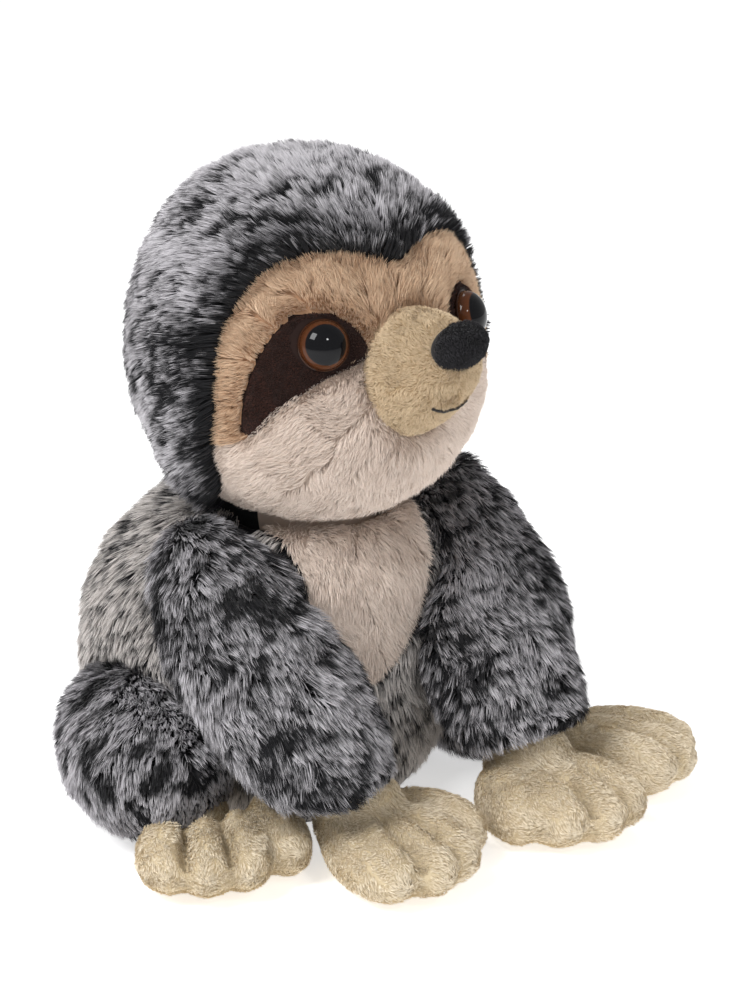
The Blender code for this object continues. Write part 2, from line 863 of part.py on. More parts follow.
def make_mouth():
    """A line of black thread that smiles a little, lying on the muzzle."""
    data = bpy.data.curves.new("mouth_guide", "CURVE")
    data.dimensions = "3D"
    spline = data.splines.new("POLY")
    spline.points.add(MOUTH_POINTS - 1)
    for i, point in enumerate(spline.points):
        share = 2 * i / (MOUTH_POINTS - 1) - 1
        x = share * MOUTH_WIDTH / 2
        z = MOUTH_HEIGHT + MOUTH_SAG * share**2
        place = muzzle_front(x, z)
        place.y -= MOUTH_THREAD + 2 * GAP
        point.co = (*place, 1)
    data.bevel_depth = MOUTH_THREAD
    data.bevel_resolution = 1
    data.use_fill_caps = True
    guide = bpy.data.objects.new("mouth_guide", data)
    toy.objects.link(guide)
    graph = bpy.context.evaluated_depsgraph_get()
    mesh = bpy.data.meshes.new_from_object(guide.evaluated_get(graph))
    bpy.data.objects.remove(guide, do_unlink=True)
    bm = bmesh.new()
    bm.from_mesh(mesh)
    bpy.data.meshes.remove(mesh)
    bmesh.ops.remove_doubles(bm, verts=bm.verts, dist=MOUTH_THREAD / 100)
    object_from(bm, "mouth_stitch", toy, "black_thread")


def paw(name, root, yaw_deg, thumb_side, length, width, root_radius, density, open_matrix):
    """A mitten paw: a root ball, three fingers with stitched grooves between, and a thumb."""
    centre = PAW_HEIGHT / 2 - FLAT_CUT / 2
    lift = Vector((0, 0, centre - root.z))
    turn = Matrix.Rotation(radians(yaw_deg), 4, "Z")
    place = Matrix.Translation(root) @ turn
    base = form_part(
        name,
        Form(
            root=root - ACROSS * root_radius,
            tip=root + ACROSS * root_radius,
            across=UPRIGHT,
            width=2 * root_radius,
            depth=2 * root_radius,
            station_shares=((0.0, 1.0, 1.0, 0.0), (1.0, 1.0, 1.0, 0.0)),
            fullness=ROUND_FULLNESS,
            density=density,
        ),
        "sand_plush",
    )
    lobes = [
        (side_share * width, reach_share * length, width * FINGER_WIDTH_SHARE)
        for side_share, reach_share in FINGER_SHARES
    ]
    lobes.append(
        (
            thumb_side * THUMB_SHARES[name][0] * width,
            THUMB_SHARES[name][1] * length,
            THUMB_WIDTH,
        )
    )
    for number, (aside, reach, lobe_width) in enumerate(lobes):
        start = place @ (Vector((aside * FINGER_START_SHARE, root_radius / 2, 0)) + lift)
        end = place @ (Vector((aside, root_radius - reach, 0)) + lift)
        lobe = form_cutter(f"{name}_lobe_{number}", finger_form(start, end, lobe_width))
        joined_with(base, lobe)
    cut_by(base, bpy.data.objects["floor_cut"])

    hollow_root = place @ lift
    hollow_tip = place @ (Vector((0, root_radius + PAW_WALL - length, 0)) + lift)
    hollow = replace(
        finger_form(hollow_root, hollow_tip, width - 2 * PAW_WALL),
        depth=PAW_HEIGHT - 2 * PAW_WALL,
    )
    pocket = form_cutter(f"{name}_hollow", hollow)
    mouth = rod_cutter(
        f"{name}_mouth", open_matrix, root_radius / 2, -root_radius / 2, root_radius + OVERRUN
    )
    cut_by(base, pocket, mouth)
    form_part(f"{name}_stuffing", hollow, "fibre", GAP)
    return base


def make_arm(side, torso_parts):
    """Sleeve, its stuffing, and the hand at its end."""
    name = side_name(side)
    form = arm_form(side)
    shoulder = mirrored(SHOULDER, side)
    axis = arm_axis(side)
    free_radius = pocket_radius(SHOULDER_RADIUS, BALL)
    pocket = ball_cutter(f"shoulder_pocket_{name}", shoulder, free_radius, axis)
    for part in torso_parts:
        cut_by(part, pocket)

    ball = ball_cutter(f"shoulder_ball_{name}", shoulder, SHOULDER_RADIUS, axis)
    lifts = [turn_about(shoulder, axis, -ARM_LIFT_DEG * share) for share in LIMB_SWEEP_SHARES]
    torso_room = swept_cutter(f"torso_room_arm_{name}", torso_form, lifts, ball)
    head_lifts = [lift @ turn for lift in lifts[1:] for turn in head_turns()]
    head_room = swept_cutter(f"head_room_arm_{name}", head_form, head_lifts)

    sleeve = form_part(f"sleeve_{name}", form, "grey_fur")
    hollow = form_cutter(f"sleeve_hollow_{name}", form, FUR_WALL)
    stuffing = form_part(f"arm_stuffing_{name}", form, "fibre", FUR_WALL + GAP)
    wrist = WRISTS[name]
    wrist_pocket = ball_cutter(
        f"wrist_pocket_{name}", wrist, pocket_radius(WRIST_RADIUS, BALL), ACROSS
    )

    # The cuff is level behind the wrist and rises ahead of it, so that the hand can flex up
    reach = OVERRUN + ARM_WIDTH
    level = box_cutter(
        f"cuff_level_{name}",
        Vector((wrist.x - reach, wrist.y, -reach)),
        Vector((wrist.x + reach, wrist.y + reach, CUFF_CLEAR)),
    )
    above = CUFF_CLEAR - wrist.z
    rise = turn_about(wrist, "X", -HAND_FLEX_DEG)
    rising = box_cutter(
        f"cuff_rising_{name}",
        Vector((wrist.x - reach, wrist.y - reach, -reach)),
        Vector((wrist.x + reach, wrist.y + above, wrist.z + above)),
        rise,
    )
    # The sleeve rests on the thigh and clears it as the leg splays
    hip = mirrored(HIP, side)
    splays = [turn_about(hip, "Z", side * LEG_SPLAY_DEG * share) for share in LIMB_SWEEP_SHARES]
    thigh_room = swept_cutter(f"thigh_room_{name}", leg_form(side), splays)
    rooms = (torso_room, thigh_room, bpy.data.objects["head_room_0"], head_room)
    cut_by(sleeve, hollow, level, rising, wrist_pocket, *rooms)
    cut_by(stuffing, level, rising, wrist_pocket, *rooms)

    up_the_arm = (shoulder - wrist).to_track_quat("Z", "Y").to_matrix().to_4x4()
    paw(
        f"hand_{name}",
        wrist,
        0,
        -side,
        HAND_LENGTH,
        HAND_WIDTH,
        WRIST_RADIUS,
        BALL,
        Matrix.Translation(wrist) @ up_the_arm,
    )


def make_leg(side, torso_parts):
    """Thigh cover, its stuffing, and the foot at its end."""
    name = side_name(side)
    form = leg_form(side)
    hip = mirrored(HIP, side)
    pocket = ball_cutter(f"hip_pocket_{name}", hip, pocket_radius(HIP_RADIUS, BALL), UPRIGHT)
    for part in torso_parts:
        cut_by(part, pocket)
    ball = ball_cutter(f"hip_ball_{name}", hip, HIP_RADIUS, UPRIGHT)
    splays = [turn_about(hip, "Z", -side * LEG_SPLAY_DEG * share) for share in LIMB_SWEEP_SHARES]
    torso_room = swept_cutter(f"torso_room_leg_{name}", torso_form, splays, ball)

    ankle = ANKLES[name]
    ankle_pocket = ball_cutter(f"ankle_pocket_{name}", ankle, ANKLE_RADIUS + GAP, ACROSS, SMALL)
    cover = form_part(f"leg_fur_{name}", form, "grey_fur")
    hollow = form_cutter(f"leg_hollow_{name}", form, FUR_WALL)
    stuffing = form_part(f"leg_stuffing_{name}", form, "fibre", FUR_WALL + GAP)
    floor = bpy.data.objects["floor_cut"]
    cut_by(cover, hollow, torso_room, floor, ankle_pocket)
    cut_by(stuffing, torso_room, ankle_pocket)

    back_into_leg = (hip - ankle).to_track_quat("Z", "Y").to_matrix().to_4x4()
    foot = paw(
        f"foot_{name}",
        ankle,
        FOOT_YAW_DEG * side,
        -side,
        FOOT_LENGTH,
        FOOT_WIDTH,
        ANKLE_RADIUS,
        SMALL,
        Matrix.Translation(ankle) @ back_into_leg,
    )
    leg_out = form_cutter(f"leg_out_{name}", form, -GAP)
    cut_by(leg_out, ankle_pocket)
    cut_by(foot, leg_out)
    cut_by(bpy.data.objects[f"foot_{name}_stuffing"], leg_out)


def centre_on_origin():
    """Moves the toy as one, so that its box is centred on the origin and it stands at Z = 0."""
    bpy.context.view_layer.update()
    graph = bpy.context.evaluated_depsgraph_get()
    corners = []
    for part in toy.objects:
        shown = part.evaluated_get(graph)
        corners += [shown.matrix_world @ Vector(corner) for corner in shown.bound_box]
    low = Vector(map(min, zip(*corners)))
    high = Vector(map(max, zip(*corners)))
    stand.location = Vector((-(low.x + high.x) / 2, -(low.y + high.y) / 2, -low.z))
    bpy.context.view_layer.update()
    return stand.location


def report_joints(offset):
    """Prints the joint centres of the finished toy, in metres."""
    for name, place in (
        ("neck", neck_centre),
        ("shoulder_left", mirrored(SHOULDER, 1)),
        ("shoulder_right", mirrored(SHOULDER, -1)),
        ("wrist_left", WRISTS["left"]),
        ("wrist_right", WRISTS["right"]),
        ("hip_left", mirrored(HIP, 1)),
        ("hip_right", mirrored(HIP, -1)),
    ):
        print(name, [round(value, 5) for value in place + offset])


clear_scene()
toy = collection_named("plush_sloth")
cutters = collection_named("cutters")
stand = bpy.data.objects.new("sloth_origin", None)
bpy.context.scene.collection.objects.link(stand)
cut_for_arms, torso_pieces = make_torso()
make_neck()
make_head()
for arm_side in (-1, 1):
    make_arm(arm_side, cut_for_arms)
    make_leg(arm_side, torso_pieces)
report_joints(centre_on_origin())
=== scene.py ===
"""Plush sloth, seated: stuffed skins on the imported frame, dressed with panels of combed pile.

The toy faces -Y and its right side is at -X. Lengths are in metres. "Toy space" is the frame
moved so that the toy's own middle plane is X = 0, as its sewing pattern has it.
"""

import json
from collections import Counter
from contextlib import contextmanager
from dataclasses import dataclass, replace
from math import atan2, cos, inf, pi, radians, sin, sqrt

import bmesh
import bpy
import numpy as np
from mathutils import Matrix, Vector, kdtree
from mathutils.bvhtree import BVHTree
from mathutils.geometry import delaunay_2d_cdt


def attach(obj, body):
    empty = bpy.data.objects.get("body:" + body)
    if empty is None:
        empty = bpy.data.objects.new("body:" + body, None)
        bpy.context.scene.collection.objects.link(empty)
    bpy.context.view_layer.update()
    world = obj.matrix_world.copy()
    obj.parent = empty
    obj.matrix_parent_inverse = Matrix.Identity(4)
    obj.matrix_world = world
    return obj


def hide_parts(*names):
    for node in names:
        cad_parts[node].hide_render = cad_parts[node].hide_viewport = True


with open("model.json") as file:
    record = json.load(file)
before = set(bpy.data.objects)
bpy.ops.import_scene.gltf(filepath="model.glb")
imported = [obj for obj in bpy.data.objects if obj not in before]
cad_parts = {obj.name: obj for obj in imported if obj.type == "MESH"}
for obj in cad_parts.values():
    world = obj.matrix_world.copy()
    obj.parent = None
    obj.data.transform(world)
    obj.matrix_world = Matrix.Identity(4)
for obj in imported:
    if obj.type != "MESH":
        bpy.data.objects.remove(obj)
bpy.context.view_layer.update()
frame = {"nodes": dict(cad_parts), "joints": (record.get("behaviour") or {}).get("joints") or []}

bl_info = {
    "name": "Plush Sloth",
    "version": (1, 0, 0),
    "blender": (4, 5, 0),
    "location": "3D View > Sidebar > Sloth",
    "description": "Dresses the packed frame of a seated plush sloth in skins and combed pile",
    "category": "Add Mesh",
}

SIDES = {"right": -1, "left": 1}
ACROSS = Vector((1, 0, 0))
UPRIGHT = Vector((0, 0, 1))

# Head
HEAD_WIDTH = 0.108
HEAD_DEPTH = 0.098
HEAD_HEIGHT = 0.107
HEAD_BOTTOM = 0.0875
HEAD_SET_BACK = 0.0065
HEAD_STATIONS = (
    (0.0, 0.89, 0.92, -0.050),
    (0.35, 1.00, 1.00, -0.015),
    (0.7, 0.93, 0.94, 0.025),
    (1.0, 0.85, 0.90, 0.055),
)
# Seam outlines, one half: shares of half the head's width and of its height
FACE_OUTLINE = (
    (0.0, 0.745), (0.10, 0.765), (0.28, 0.795), (0.47, 0.787), (0.64, 0.742), (0.79, 0.635),
    (0.87, 0.51), (0.88, 0.37), (0.85, 0.27), (0.72, 0.16), (0.50, 0.075), (0.0, -0.05),
)
# The seam that a cheek and an eye patch share
CHEEK_SEAM = (
    (0.24, 0.535), (0.364, 0.508), (0.485, 0.488), (0.60, 0.447), (0.70, 0.400), (0.775, 0.318),
)
CHEEK_OUTLINE = ((0.0, 0.535), *CHEEK_SEAM, (1.20, 0.215), (1.20, -0.20), (0.0, -0.20))
PATCH_OUTLINE = (
    CHEEK_SEAM[0], (0.30, 0.600), (0.395, 0.636), (0.50, 0.643), (0.62, 0.610), (0.71, 0.542),
    (0.768, 0.473), (0.792, 0.394), *CHEEK_SEAM[:0:-1],
)
BIB_OUTLINE = ((0.0, 0.42), (0.10, 0.43), (0.30, 0.60), (0.37, 0.80), (0.37, 1.10), (0.0, 1.10))
TORSO_WIDTH = 0.124
TORSO_TOP = 0.104
TORSO_SET_BACK = 0.024

# Face pieces
EYE_AT = (0.0255, 0.1482)
MUZZLE_ROOT = Vector((0, -0.022, 0.1335))
MUZZLE_TIP = Vector((0, -0.0595, 0.1435))
MUZZLE_SIZE = (0.033, 0.037)
MUZZLE_STATIONS = ((0.0, 1.00, 1.00, 0.0), (0.5, 0.96, 0.92, 0.02), (1.0, 0.72, 0.60, 0.10))
MOUTH_HEIGHT = 0.1308
NOSE_AT = Vector((0, -0.0563, 0.1488))
NOSE_TILT = 28

# Neck and limbs
NECK = Vector((0, 0.012, 0.095))
NECK_RADIUS = 0.0255
NECK_POCKET = NECK_RADIUS + 0.0012
NECK_CLEAR = NECK_RADIUS + 0.0022
HOOD_CLEAR = NECK_RADIUS + 0.003
SHOULDER = Vector((0.044, -0.004, 0.080))
SLEEVE_END = Vector((0.037, -0.062, 0.004))
HIP = Vector((0.050, 0.024, 0.026))
LEG_ENDS = {"right": Vector((-0.062, -0.026, 0.020)), "left": Vector((0.062, -0.036, 0.019))}
WRISTS = {"right": Vector((-0.024, -0.044, 0.0135)), "left": Vector((0.036, -0.048, 0.0135))}
ANKLES = {"right": Vector((-0.054, -0.009, 0.0095)), "left": Vector((0.064, -0.035, 0.0095))}
FOOT_YAW = 32
HAND_SIZE = (0.053, 0.042, 0.0140)
FOOT_SIZE = (0.050, 0.042, 0.0095)
PLAIN_STATIONS = ((0.0, 1, 1, 0), (1.0, 1, 1, 0))

# How far the head's skin lies under the outline of the pile on it
FACE_DEPTH = 0.0045
CROWN_DROP = 0.0026
# How far stuffing can push a skin out
SKIN_SWELL = 0.0018
PAW_SWELL = 0.0010
STUFFING_FRAMES = 20
# A hand's sleeve ends this high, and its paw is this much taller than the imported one
HEM_HEIGHT = 0.0215
PAW_STRETCH = 1.17
GROOVE_DEPTH = 0.0046
EYE_RADIUS = 0.0071
EYE_DOME = 0.0050
EYE_RIM = 0.0011
# A strand looks this far for a skin in its way, and is left out where it has less room
SEARCH = 0.012
LEAST_ROOM = 0.22
RAGGED = 0.0012
ABOVE_FLOOR = 0.0002
# Most strands in one mesh
MOST = {"hood": 90000, "back": 70000, "sleeve": 85000, "leg": 56000, "paw": 36000}
WELD = 0.00001


def offset_of_toy():
    """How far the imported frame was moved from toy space."""
    turn = next(joint for joint in frame["joints"] if joint["name"] == "head_turn")
    return Vector(turn["pos_m"]) - NECK


OFFSET = offset_of_toy()


def linear(code):
    """A colour as it is seen, such as "b9b6b8", in the units that shaders use."""
    parts = [int(code[i : i + 2], 16) / 255 for i in (0, 2, 4)]
    return tuple(((p + 0.055) / 1.055) ** 2.4 if p > 0.04045 else p / 12.92 for p in parts)


def colour_prop(name, code, about):
    return bpy.props.FloatVectorProperty(
        name=name, description=about, default=linear(code), subtype="COLOR", min=0, max=1
    )


def length_prop(name, value, about):
    return bpy.props.FloatProperty(
        name=name, description=about, default=value, min=0, subtype="DISTANCE", unit="LENGTH"
    )


class SlothPiles(bpy.types.PropertyGroup):
    """How long each pile is and how closely its strands stand."""

    fur: length_prop("Grey fur", 0.0082, "Length of the long frosted fur")
    forehead: length_prop("Forehead", 0.0062, "Length of the tan pile round the eyes")
    cheek: length_prop("Cheeks and bib", 0.0046, "Length of the cream pile")
    muzzle: length_prop("Muzzle", 0.0017, "Length of the curly muzzle pile")
    paw: length_prop("Paws", 0.0020, "Length of the paw pile")
    velboa: length_prop("Eye patches", 0.0009, "Length of the eye patches' nap")
    closeness: bpy.props.FloatProperty(
        name="Closeness",
        description="Share of the full number of strands",
        default=1.0,
        min=0.05,
        max=1.0,
        subtype="FACTOR",
    )


class SlothColours(bpy.types.PropertyGroup):
    """The colours that the plush cloths, plastic and thread have."""

    fur_root: colour_prop("Fur roots", "18181b", "Nearly black roots of the grey fur")
    fur_tip: colour_prop("Fur tips", "cfccd0", "Frosted tips of the grey fur")
    back_tip: colour_prop("Back tips", "d3cdc9", "Warmer tips down the back")
    tan_root: colour_prop("Tan roots", "b89273", "Roots of the forehead pile")
    tan_tip: colour_prop("Tan tips", "e6caac", "Tips of the forehead pile")
    cream_root: colour_prop("Cream roots", "cbb8a9", "Roots of the cream pile")
    cream_tip: colour_prop("Cream tips", "eedfd3", "Tips of the cream pile")
    khaki_root: colour_prop("Muzzle roots", "b39a76", "Roots of the muzzle pile")
    khaki_tip: colour_prop("Muzzle tips", "d9c3a3", "Tips of the muzzle pile")
    sand_root: colour_prop("Paw roots", "cebd9c", "Roots of the paw pile")
    sand_tip: colour_prop("Paw tips", "f3e7d1", "Tips of the paw pile")
    velboa: colour_prop("Eye patches", "2e1811", "Short dark brown nap")
    nose: colour_prop("Nose", "1c1b1e", "Short black nap")
    iris: colour_prop("Iris", "5c341d", "Brown ring of the eyes")
    thread: colour_prop("Thread", "17130f", "Mouth stitch")


@dataclass
class Form:
    """A stuffed form: a ball pulled out from root to tip through elliptical sections."""

    root: Vector
    tip: Vector
    width: float
    depth: float
    stations: tuple
    fullness: float = 2.6

    def frame(self):
        along = (self.tip - self.root).normalized()
        deep = along.cross(ACROSS).normalized()
        return along, deep.cross(along), deep

    def section(self, share, inset=0.0):
        """Centre, half width and half depth where the form is cut, a share of the way along."""
        along, _, deep = self.frame()
        root = self.root + along * inset
        tip = self.tip - along * inset
        wide, thick, lean = (eased(self.stations, share, column) for column in (1, 2, 3))
        swell = max(1 - abs(2 * share - 1) ** self.fullness, 0) ** (1 / self.fullness)
        centre = root.lerp(tip, share) + deep * lean * self.depth
        half_width = (self.width / 2 * wide - inset) * swell
        return centre, half_width, (self.depth / 2 * thick - inset) * swell


def eased(stations, share, column):
    """A smooth curve through one column of the stations."""
    places = [station[0] for station in stations]
    values = [station[column] for station in stations]
    slopes = np.gradient(values, places)
    place = min(max(int(np.searchsorted(places, share)) - 1, 0), len(places) - 2)
    span = places[place + 1] - places[place]
    part = (share - places[place]) / span
    start = values[place] + part * span * slopes[place]
    end = values[place + 1] - (1 - part) * span * slopes[place + 1]
    blend = part * part * (3 - 2 * part)
    return float(start * (1 - blend) + end * blend)


CHIN, CROWN = (Vector((0, HEAD_SET_BACK, HEAD_BOTTOM + up)) for up in (0, HEAD_HEIGHT))
HEAD_FORM = Form(CHIN, CROWN, HEAD_WIDTH, HEAD_DEPTH, HEAD_STATIONS)
MUZZLE_FORM = Form(MUZZLE_ROOT, MUZZLE_TIP, *MUZZLE_SIZE, MUZZLE_STATIONS)


@dataclass
class Pile:
    """How a pile is combed: sizes in metres, angles in degrees from upright."""

    length: float
    width: float
    closeness: float
    lean: tuple = (30, 70)
    uneven: float = 0.18
    tuft: float = 0.0014
    tuft_pull: float = 0.5
    lock: float = 0.0062
    lock_pull: float = 0.12
    lock_turn: float = 12
    stray: float = 10
    curl: float = 0.0
    sink: float = 0.0004


def soft_pile(length, width, closeness, lean, **more):
    """A plush pile, whose tufts and locks hardly clump."""
    usual = {"tuft": 0.0010, "lock": 0.005, "tuft_pull": 0.22, "lock_pull": 0.08}
    usual |= {"lock_turn": 22, "stray": 16}
    return Pile(length, width, closeness, lean, **(usual | more))


def deselect():
    if bpy.context.object and bpy.context.object.mode != "OBJECT":
        bpy.ops.object.mode_set(mode="OBJECT")
    bpy.ops.object.select_all(action="DESELECT")


def pick(thing):
    """Selects one object alone and makes it active."""
    deselect()
    thing.select_set(True)
    bpy.context.view_layer.objects.active = thing
    return thing


@contextmanager
def edit_mode(thing):
    """Has all of one mesh selected in edit mode for the lines under it."""
    pick(thing)
    bpy.ops.object.mode_set(mode="EDIT")
    bpy.ops.mesh.select_all(action="SELECT")
    yield
    bpy.ops.object.mode_set(mode="OBJECT")


def linked(name, data):
    """A new object, in the scene."""
    made = bpy.data.objects.new(name, data)
    bpy.context.scene.collection.objects.link(made)
    return made


def apply_modifiers(thing):
    pick(thing)
    for modifier in list(thing.modifiers):
        bpy.ops.object.modifier_apply(modifier=modifier.name)
    return thing


def vectors(items, key):
    found = np.empty(len(items) * 3, np.float32)
    items.foreach_get(key, found)
    return found.reshape(-1, 3).astype(float)


def put(items, key, rows, kind=np.float32):
    """Writes a value or row of values to each item of a mesh."""
    items.foreach_set(key, np.asarray(rows, kind).ravel())


def coordinates(thing):
    return vectors(thing.data.vertices, "co")


def normals_of(thing):
    return vectors(thing.data.vertex_normals, "vector")


def set_coordinates(thing, points):
    put(thing.data.vertices, "co", points)
    thing.data.update()


def unit(rows):
    return rows / np.maximum(np.linalg.norm(rows, axis=1, keepdims=True), 1e-12)


def smooth_step(low, high, values):
    part = np.clip((values - low) / (high - low), 0, 1)
    return part * part * (3 - 2 * part)


def fade(low, high, values):
    """1 up to low, and 0 from high on."""
    return 1 - smooth_step(low, high, values)


def peak(distance, width):
    """1 at no distance, and little beyond width."""
    return np.exp(-((distance / width) ** 2))


def drift(points, size, seed):
    """A smooth random value from about -1 to 1 at each point, whose patches are about size wide."""
    rng = np.random.default_rng(seed)
    total = np.zeros(len(points))
    for _ in range(9):
        way = rng.normal(size=points.shape[1])
        way *= rng.uniform(0.6, 1.4) / np.linalg.norm(way)
        total += np.sin(points @ way * (pi / size) + rng.uniform(0, 2 * pi))
    return total / 3


def mottle(points, along, seed):
    """The tone of frosted fur: light, with dark dashes across its lie where it parts."""
    rows = drift(np.column_stack([points, along * 2.2]), 0.0038, seed)
    broad = drift(points, 0.016, seed + 1)
    return 0.35 + 0.35 * broad - 2.2 * smooth_step(0.1, 0.9, rows - 0.35 * broad)


def side_outline(half, width, bottom, height, side=1):
    """One half of a seam outline, in toy space."""
    return [(side * x * width / 2, bottom + z * height) for x, z in half]


def whole_outline(*given):
    """Both halves of a seam outline, in toy space."""
    right = side_outline(*given)
    return right + [(-x, z) for x, z in reversed(right) if x > 0]


def rounded(outline, times=2):
    """The outline with its corners cut, so that a seam runs in a smooth curve."""
    for _ in range(times):
        cut = []
        for (ax, az), (bx, bz) in zip(outline, outline[1:] + outline[:1]):
            cut += [(ax * 0.75 + bx * 0.25, az * 0.75 + bz * 0.25)]
            cut += [(ax * 0.25 + bx * 0.75, az * 0.25 + bz * 0.75)]
        outline = cut
    return outline


def within(outline, x, z):
    """Which of the points lie inside an outline."""
    hit = np.zeros(len(x), bool)
    for (ax, az), (bx, bz) in zip(outline, outline[1:] + outline[:1]):
        if az != bz:
            crosses = (az > z) != (bz > z)
            hit ^= crosses & (x < (bx - ax) * (z - az) / (bz - az) + ax)
    return hit


FACE = rounded(whole_outline(FACE_OUTLINE, HEAD_WIDTH, HEAD_BOTTOM, HEAD_HEIGHT))
# The pile leans out over the seam, so its roots stop short of it
FACE = [(x * 0.96, z - 0.0024 * max(z - 0.145, 0) / 0.025) for x, z in FACE]
CHEEKS = whole_outline(CHEEK_OUTLINE, HEAD_WIDTH, HEAD_BOTTOM, HEAD_HEIGHT)
BIB = rounded(whole_outline(BIB_OUTLINE, TORSO_WIDTH, 0, TORSO_TOP))
PATCHES = {
    name: rounded(side_outline(PATCH_OUTLINE, HEAD_WIDTH, HEAD_BOTTOM, HEAD_HEIGHT, side))
    for name, side in SIDES.items()
}


def face_region(points):
    """0 for the hood, 1 the forehead, 2 the cheeks and 3 the eye patches, in toy space."""
    x, y, z = points.T
    region = np.where((y < HEAD_SET_BACK) & within(FACE, x, z), 1, 0)
    region[(region == 1) & within(CHEEKS, x, z)] = 2
    for outline in PATCHES.values():
        region[(region > 0) & within(outline, x, z)] = 3
    return region


def in_bib(toy):
    """Which points of toy space lie behind the bib."""
    return within(BIB, toy[:, 0], toy[:, 2]) & (toy[:, 1] < TORSO_SET_BACK)


def from_neck(toy):
    return np.linalg.norm(toy - np.array(NECK), axis=1)


def in_toy(points):
    return points - np.array(OFFSET)


def sphere(segments, rings, radius, place=(0, 0, 0)):
    """The primitive sphere, with its faces sorted, since it orders them anew in each run."""
    deselect()
    bpy.ops.mesh.primitive_uv_sphere_add(
        segments=segments, ring_count=rings, radius=radius, location=place
    )
    made = bpy.context.object
    faces = bmesh.new()
    faces.from_mesh(made.data)
    count = len(faces.verts)

    def rank(face):
        first, second, third = sorted(vertex.index for vertex in face.verts)[:3]
        return (first * count + second) * count + third

    faces.faces.sort(key=rank)
    faces.to_mesh(made.data)
    faces.free()
    return made


def form_ball(name, form, inset, segments, rings):
    """A primitive ball at the form's place, its points moved onto the form's surface."""
    made = sphere(segments, rings, 1)
    made.name = made.data.name = name
    _, across, deep = form.frame()
    for vertex in made.data.vertices:
        turn = atan2(vertex.co.y, vertex.co.x)
        # Rings crowd towards the ends, where the form turns fastest
        height = sin(vertex.co.z * pi / 2) if abs(vertex.co.z) < 1 else vertex.co.z
        centre, half_width, half_depth = form.section((1 + height) / 2, inset)
        if abs(vertex.co.z) > 1 - 1e-6:
            vertex.co = centre + OFFSET
        else:
            side = across * half_width * cos(turn)
            vertex.co = centre + side + deep * half_depth * sin(turn) + OFFSET
    made.data.update()
    with edit_mode(made):
        bpy.ops.mesh.normals_make_consistent(inside=False)
    bpy.ops.object.shade_smooth()
    return made


def from_nodes(name, nodes):
    """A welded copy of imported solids, as one object."""
    copies = [linked(name, frame["nodes"][key].data.copy()) for key in nodes]
    deselect()
    for copy in copies:
        copy.data.materials.clear()
        copy.select_set(True)
    made = copies[0]
    bpy.context.view_layer.objects.active = made
    if len(copies) > 1:
        bpy.ops.object.join()
    with edit_mode(made):
        bpy.ops.mesh.remove_doubles(threshold=WELD)
    made.name = made.data.name = name
    return made


def remeshed(thing, voxel, passes):
    """Made of even faces, with the coarse facets smoothed away."""
    remesh = thing.modifiers.new("even", "REMESH")
    remesh.mode = "VOXEL"
    remesh.voxel_size = voxel
    remesh.use_smooth_shade = True
    smooth = thing.modifiers.new("smooth", "SMOOTH")
    smooth.factor = 0.5
    smooth.iterations = passes
    apply_modifiers(thing)
    for attribute in list(thing.data.attributes):
        if not attribute.is_internal and not attribute.is_required:
            thing.data.attributes.remove(attribute)
    return thing


def moved_out(thing, distance):
    """The skin moved out along its normals, or in where distance is negative."""
    set_coordinates(thing, coordinates(thing) + normals_of(thing) * distance)
    return thing


def stuffed(thing, pressure, cap, held=None):
    """Blown up by cloth simulation as stuffing would, with no point moved further than cap.

    held gives a weight from 0 to 1 for each point that seams hold in place.
    """
    rest = coordinates(thing)
    cloth = thing.modifiers.new("stuffing", "CLOTH")
    cloth.settings.use_pressure = True
    cloth.settings.uniform_pressure_force = pressure
    cloth.settings.effector_weights.gravity = 0
    cloth.settings.quality = 5
    cloth.settings.tension_stiffness = 15
    cloth.settings.mass = 0.3
    if held is not None:
        group = thing.vertex_groups.new(name="seams")
        for index in np.flatnonzero(held > 0.05):
            group.add([int(index)], float(held[index]), "REPLACE")
        cloth.settings.vertex_group_mass = group.name
    scene = bpy.context.scene
    cloth.point_cache.frame_start = 1
    cloth.point_cache.frame_end = STUFFING_FRAMES
    for number in range(1, STUFFING_FRAMES + 1):
        scene.frame_set(number)
    blown = coordinates(thing.evaluated_get(bpy.context.evaluated_depsgraph_get()))
    thing.modifiers.remove(cloth)
    thing.vertex_groups.clear()
    scene.frame_set(1)
    if len(blown) != len(rest):
        raise RuntimeError(f"the simulation of {thing.name} changed its points")
    step = blown - rest
    size = np.linalg.norm(step, axis=1, keepdims=True)
    set_coordinates(thing, rest + step * np.minimum(1, cap / np.maximum(size, 1e-9)))
    return thing


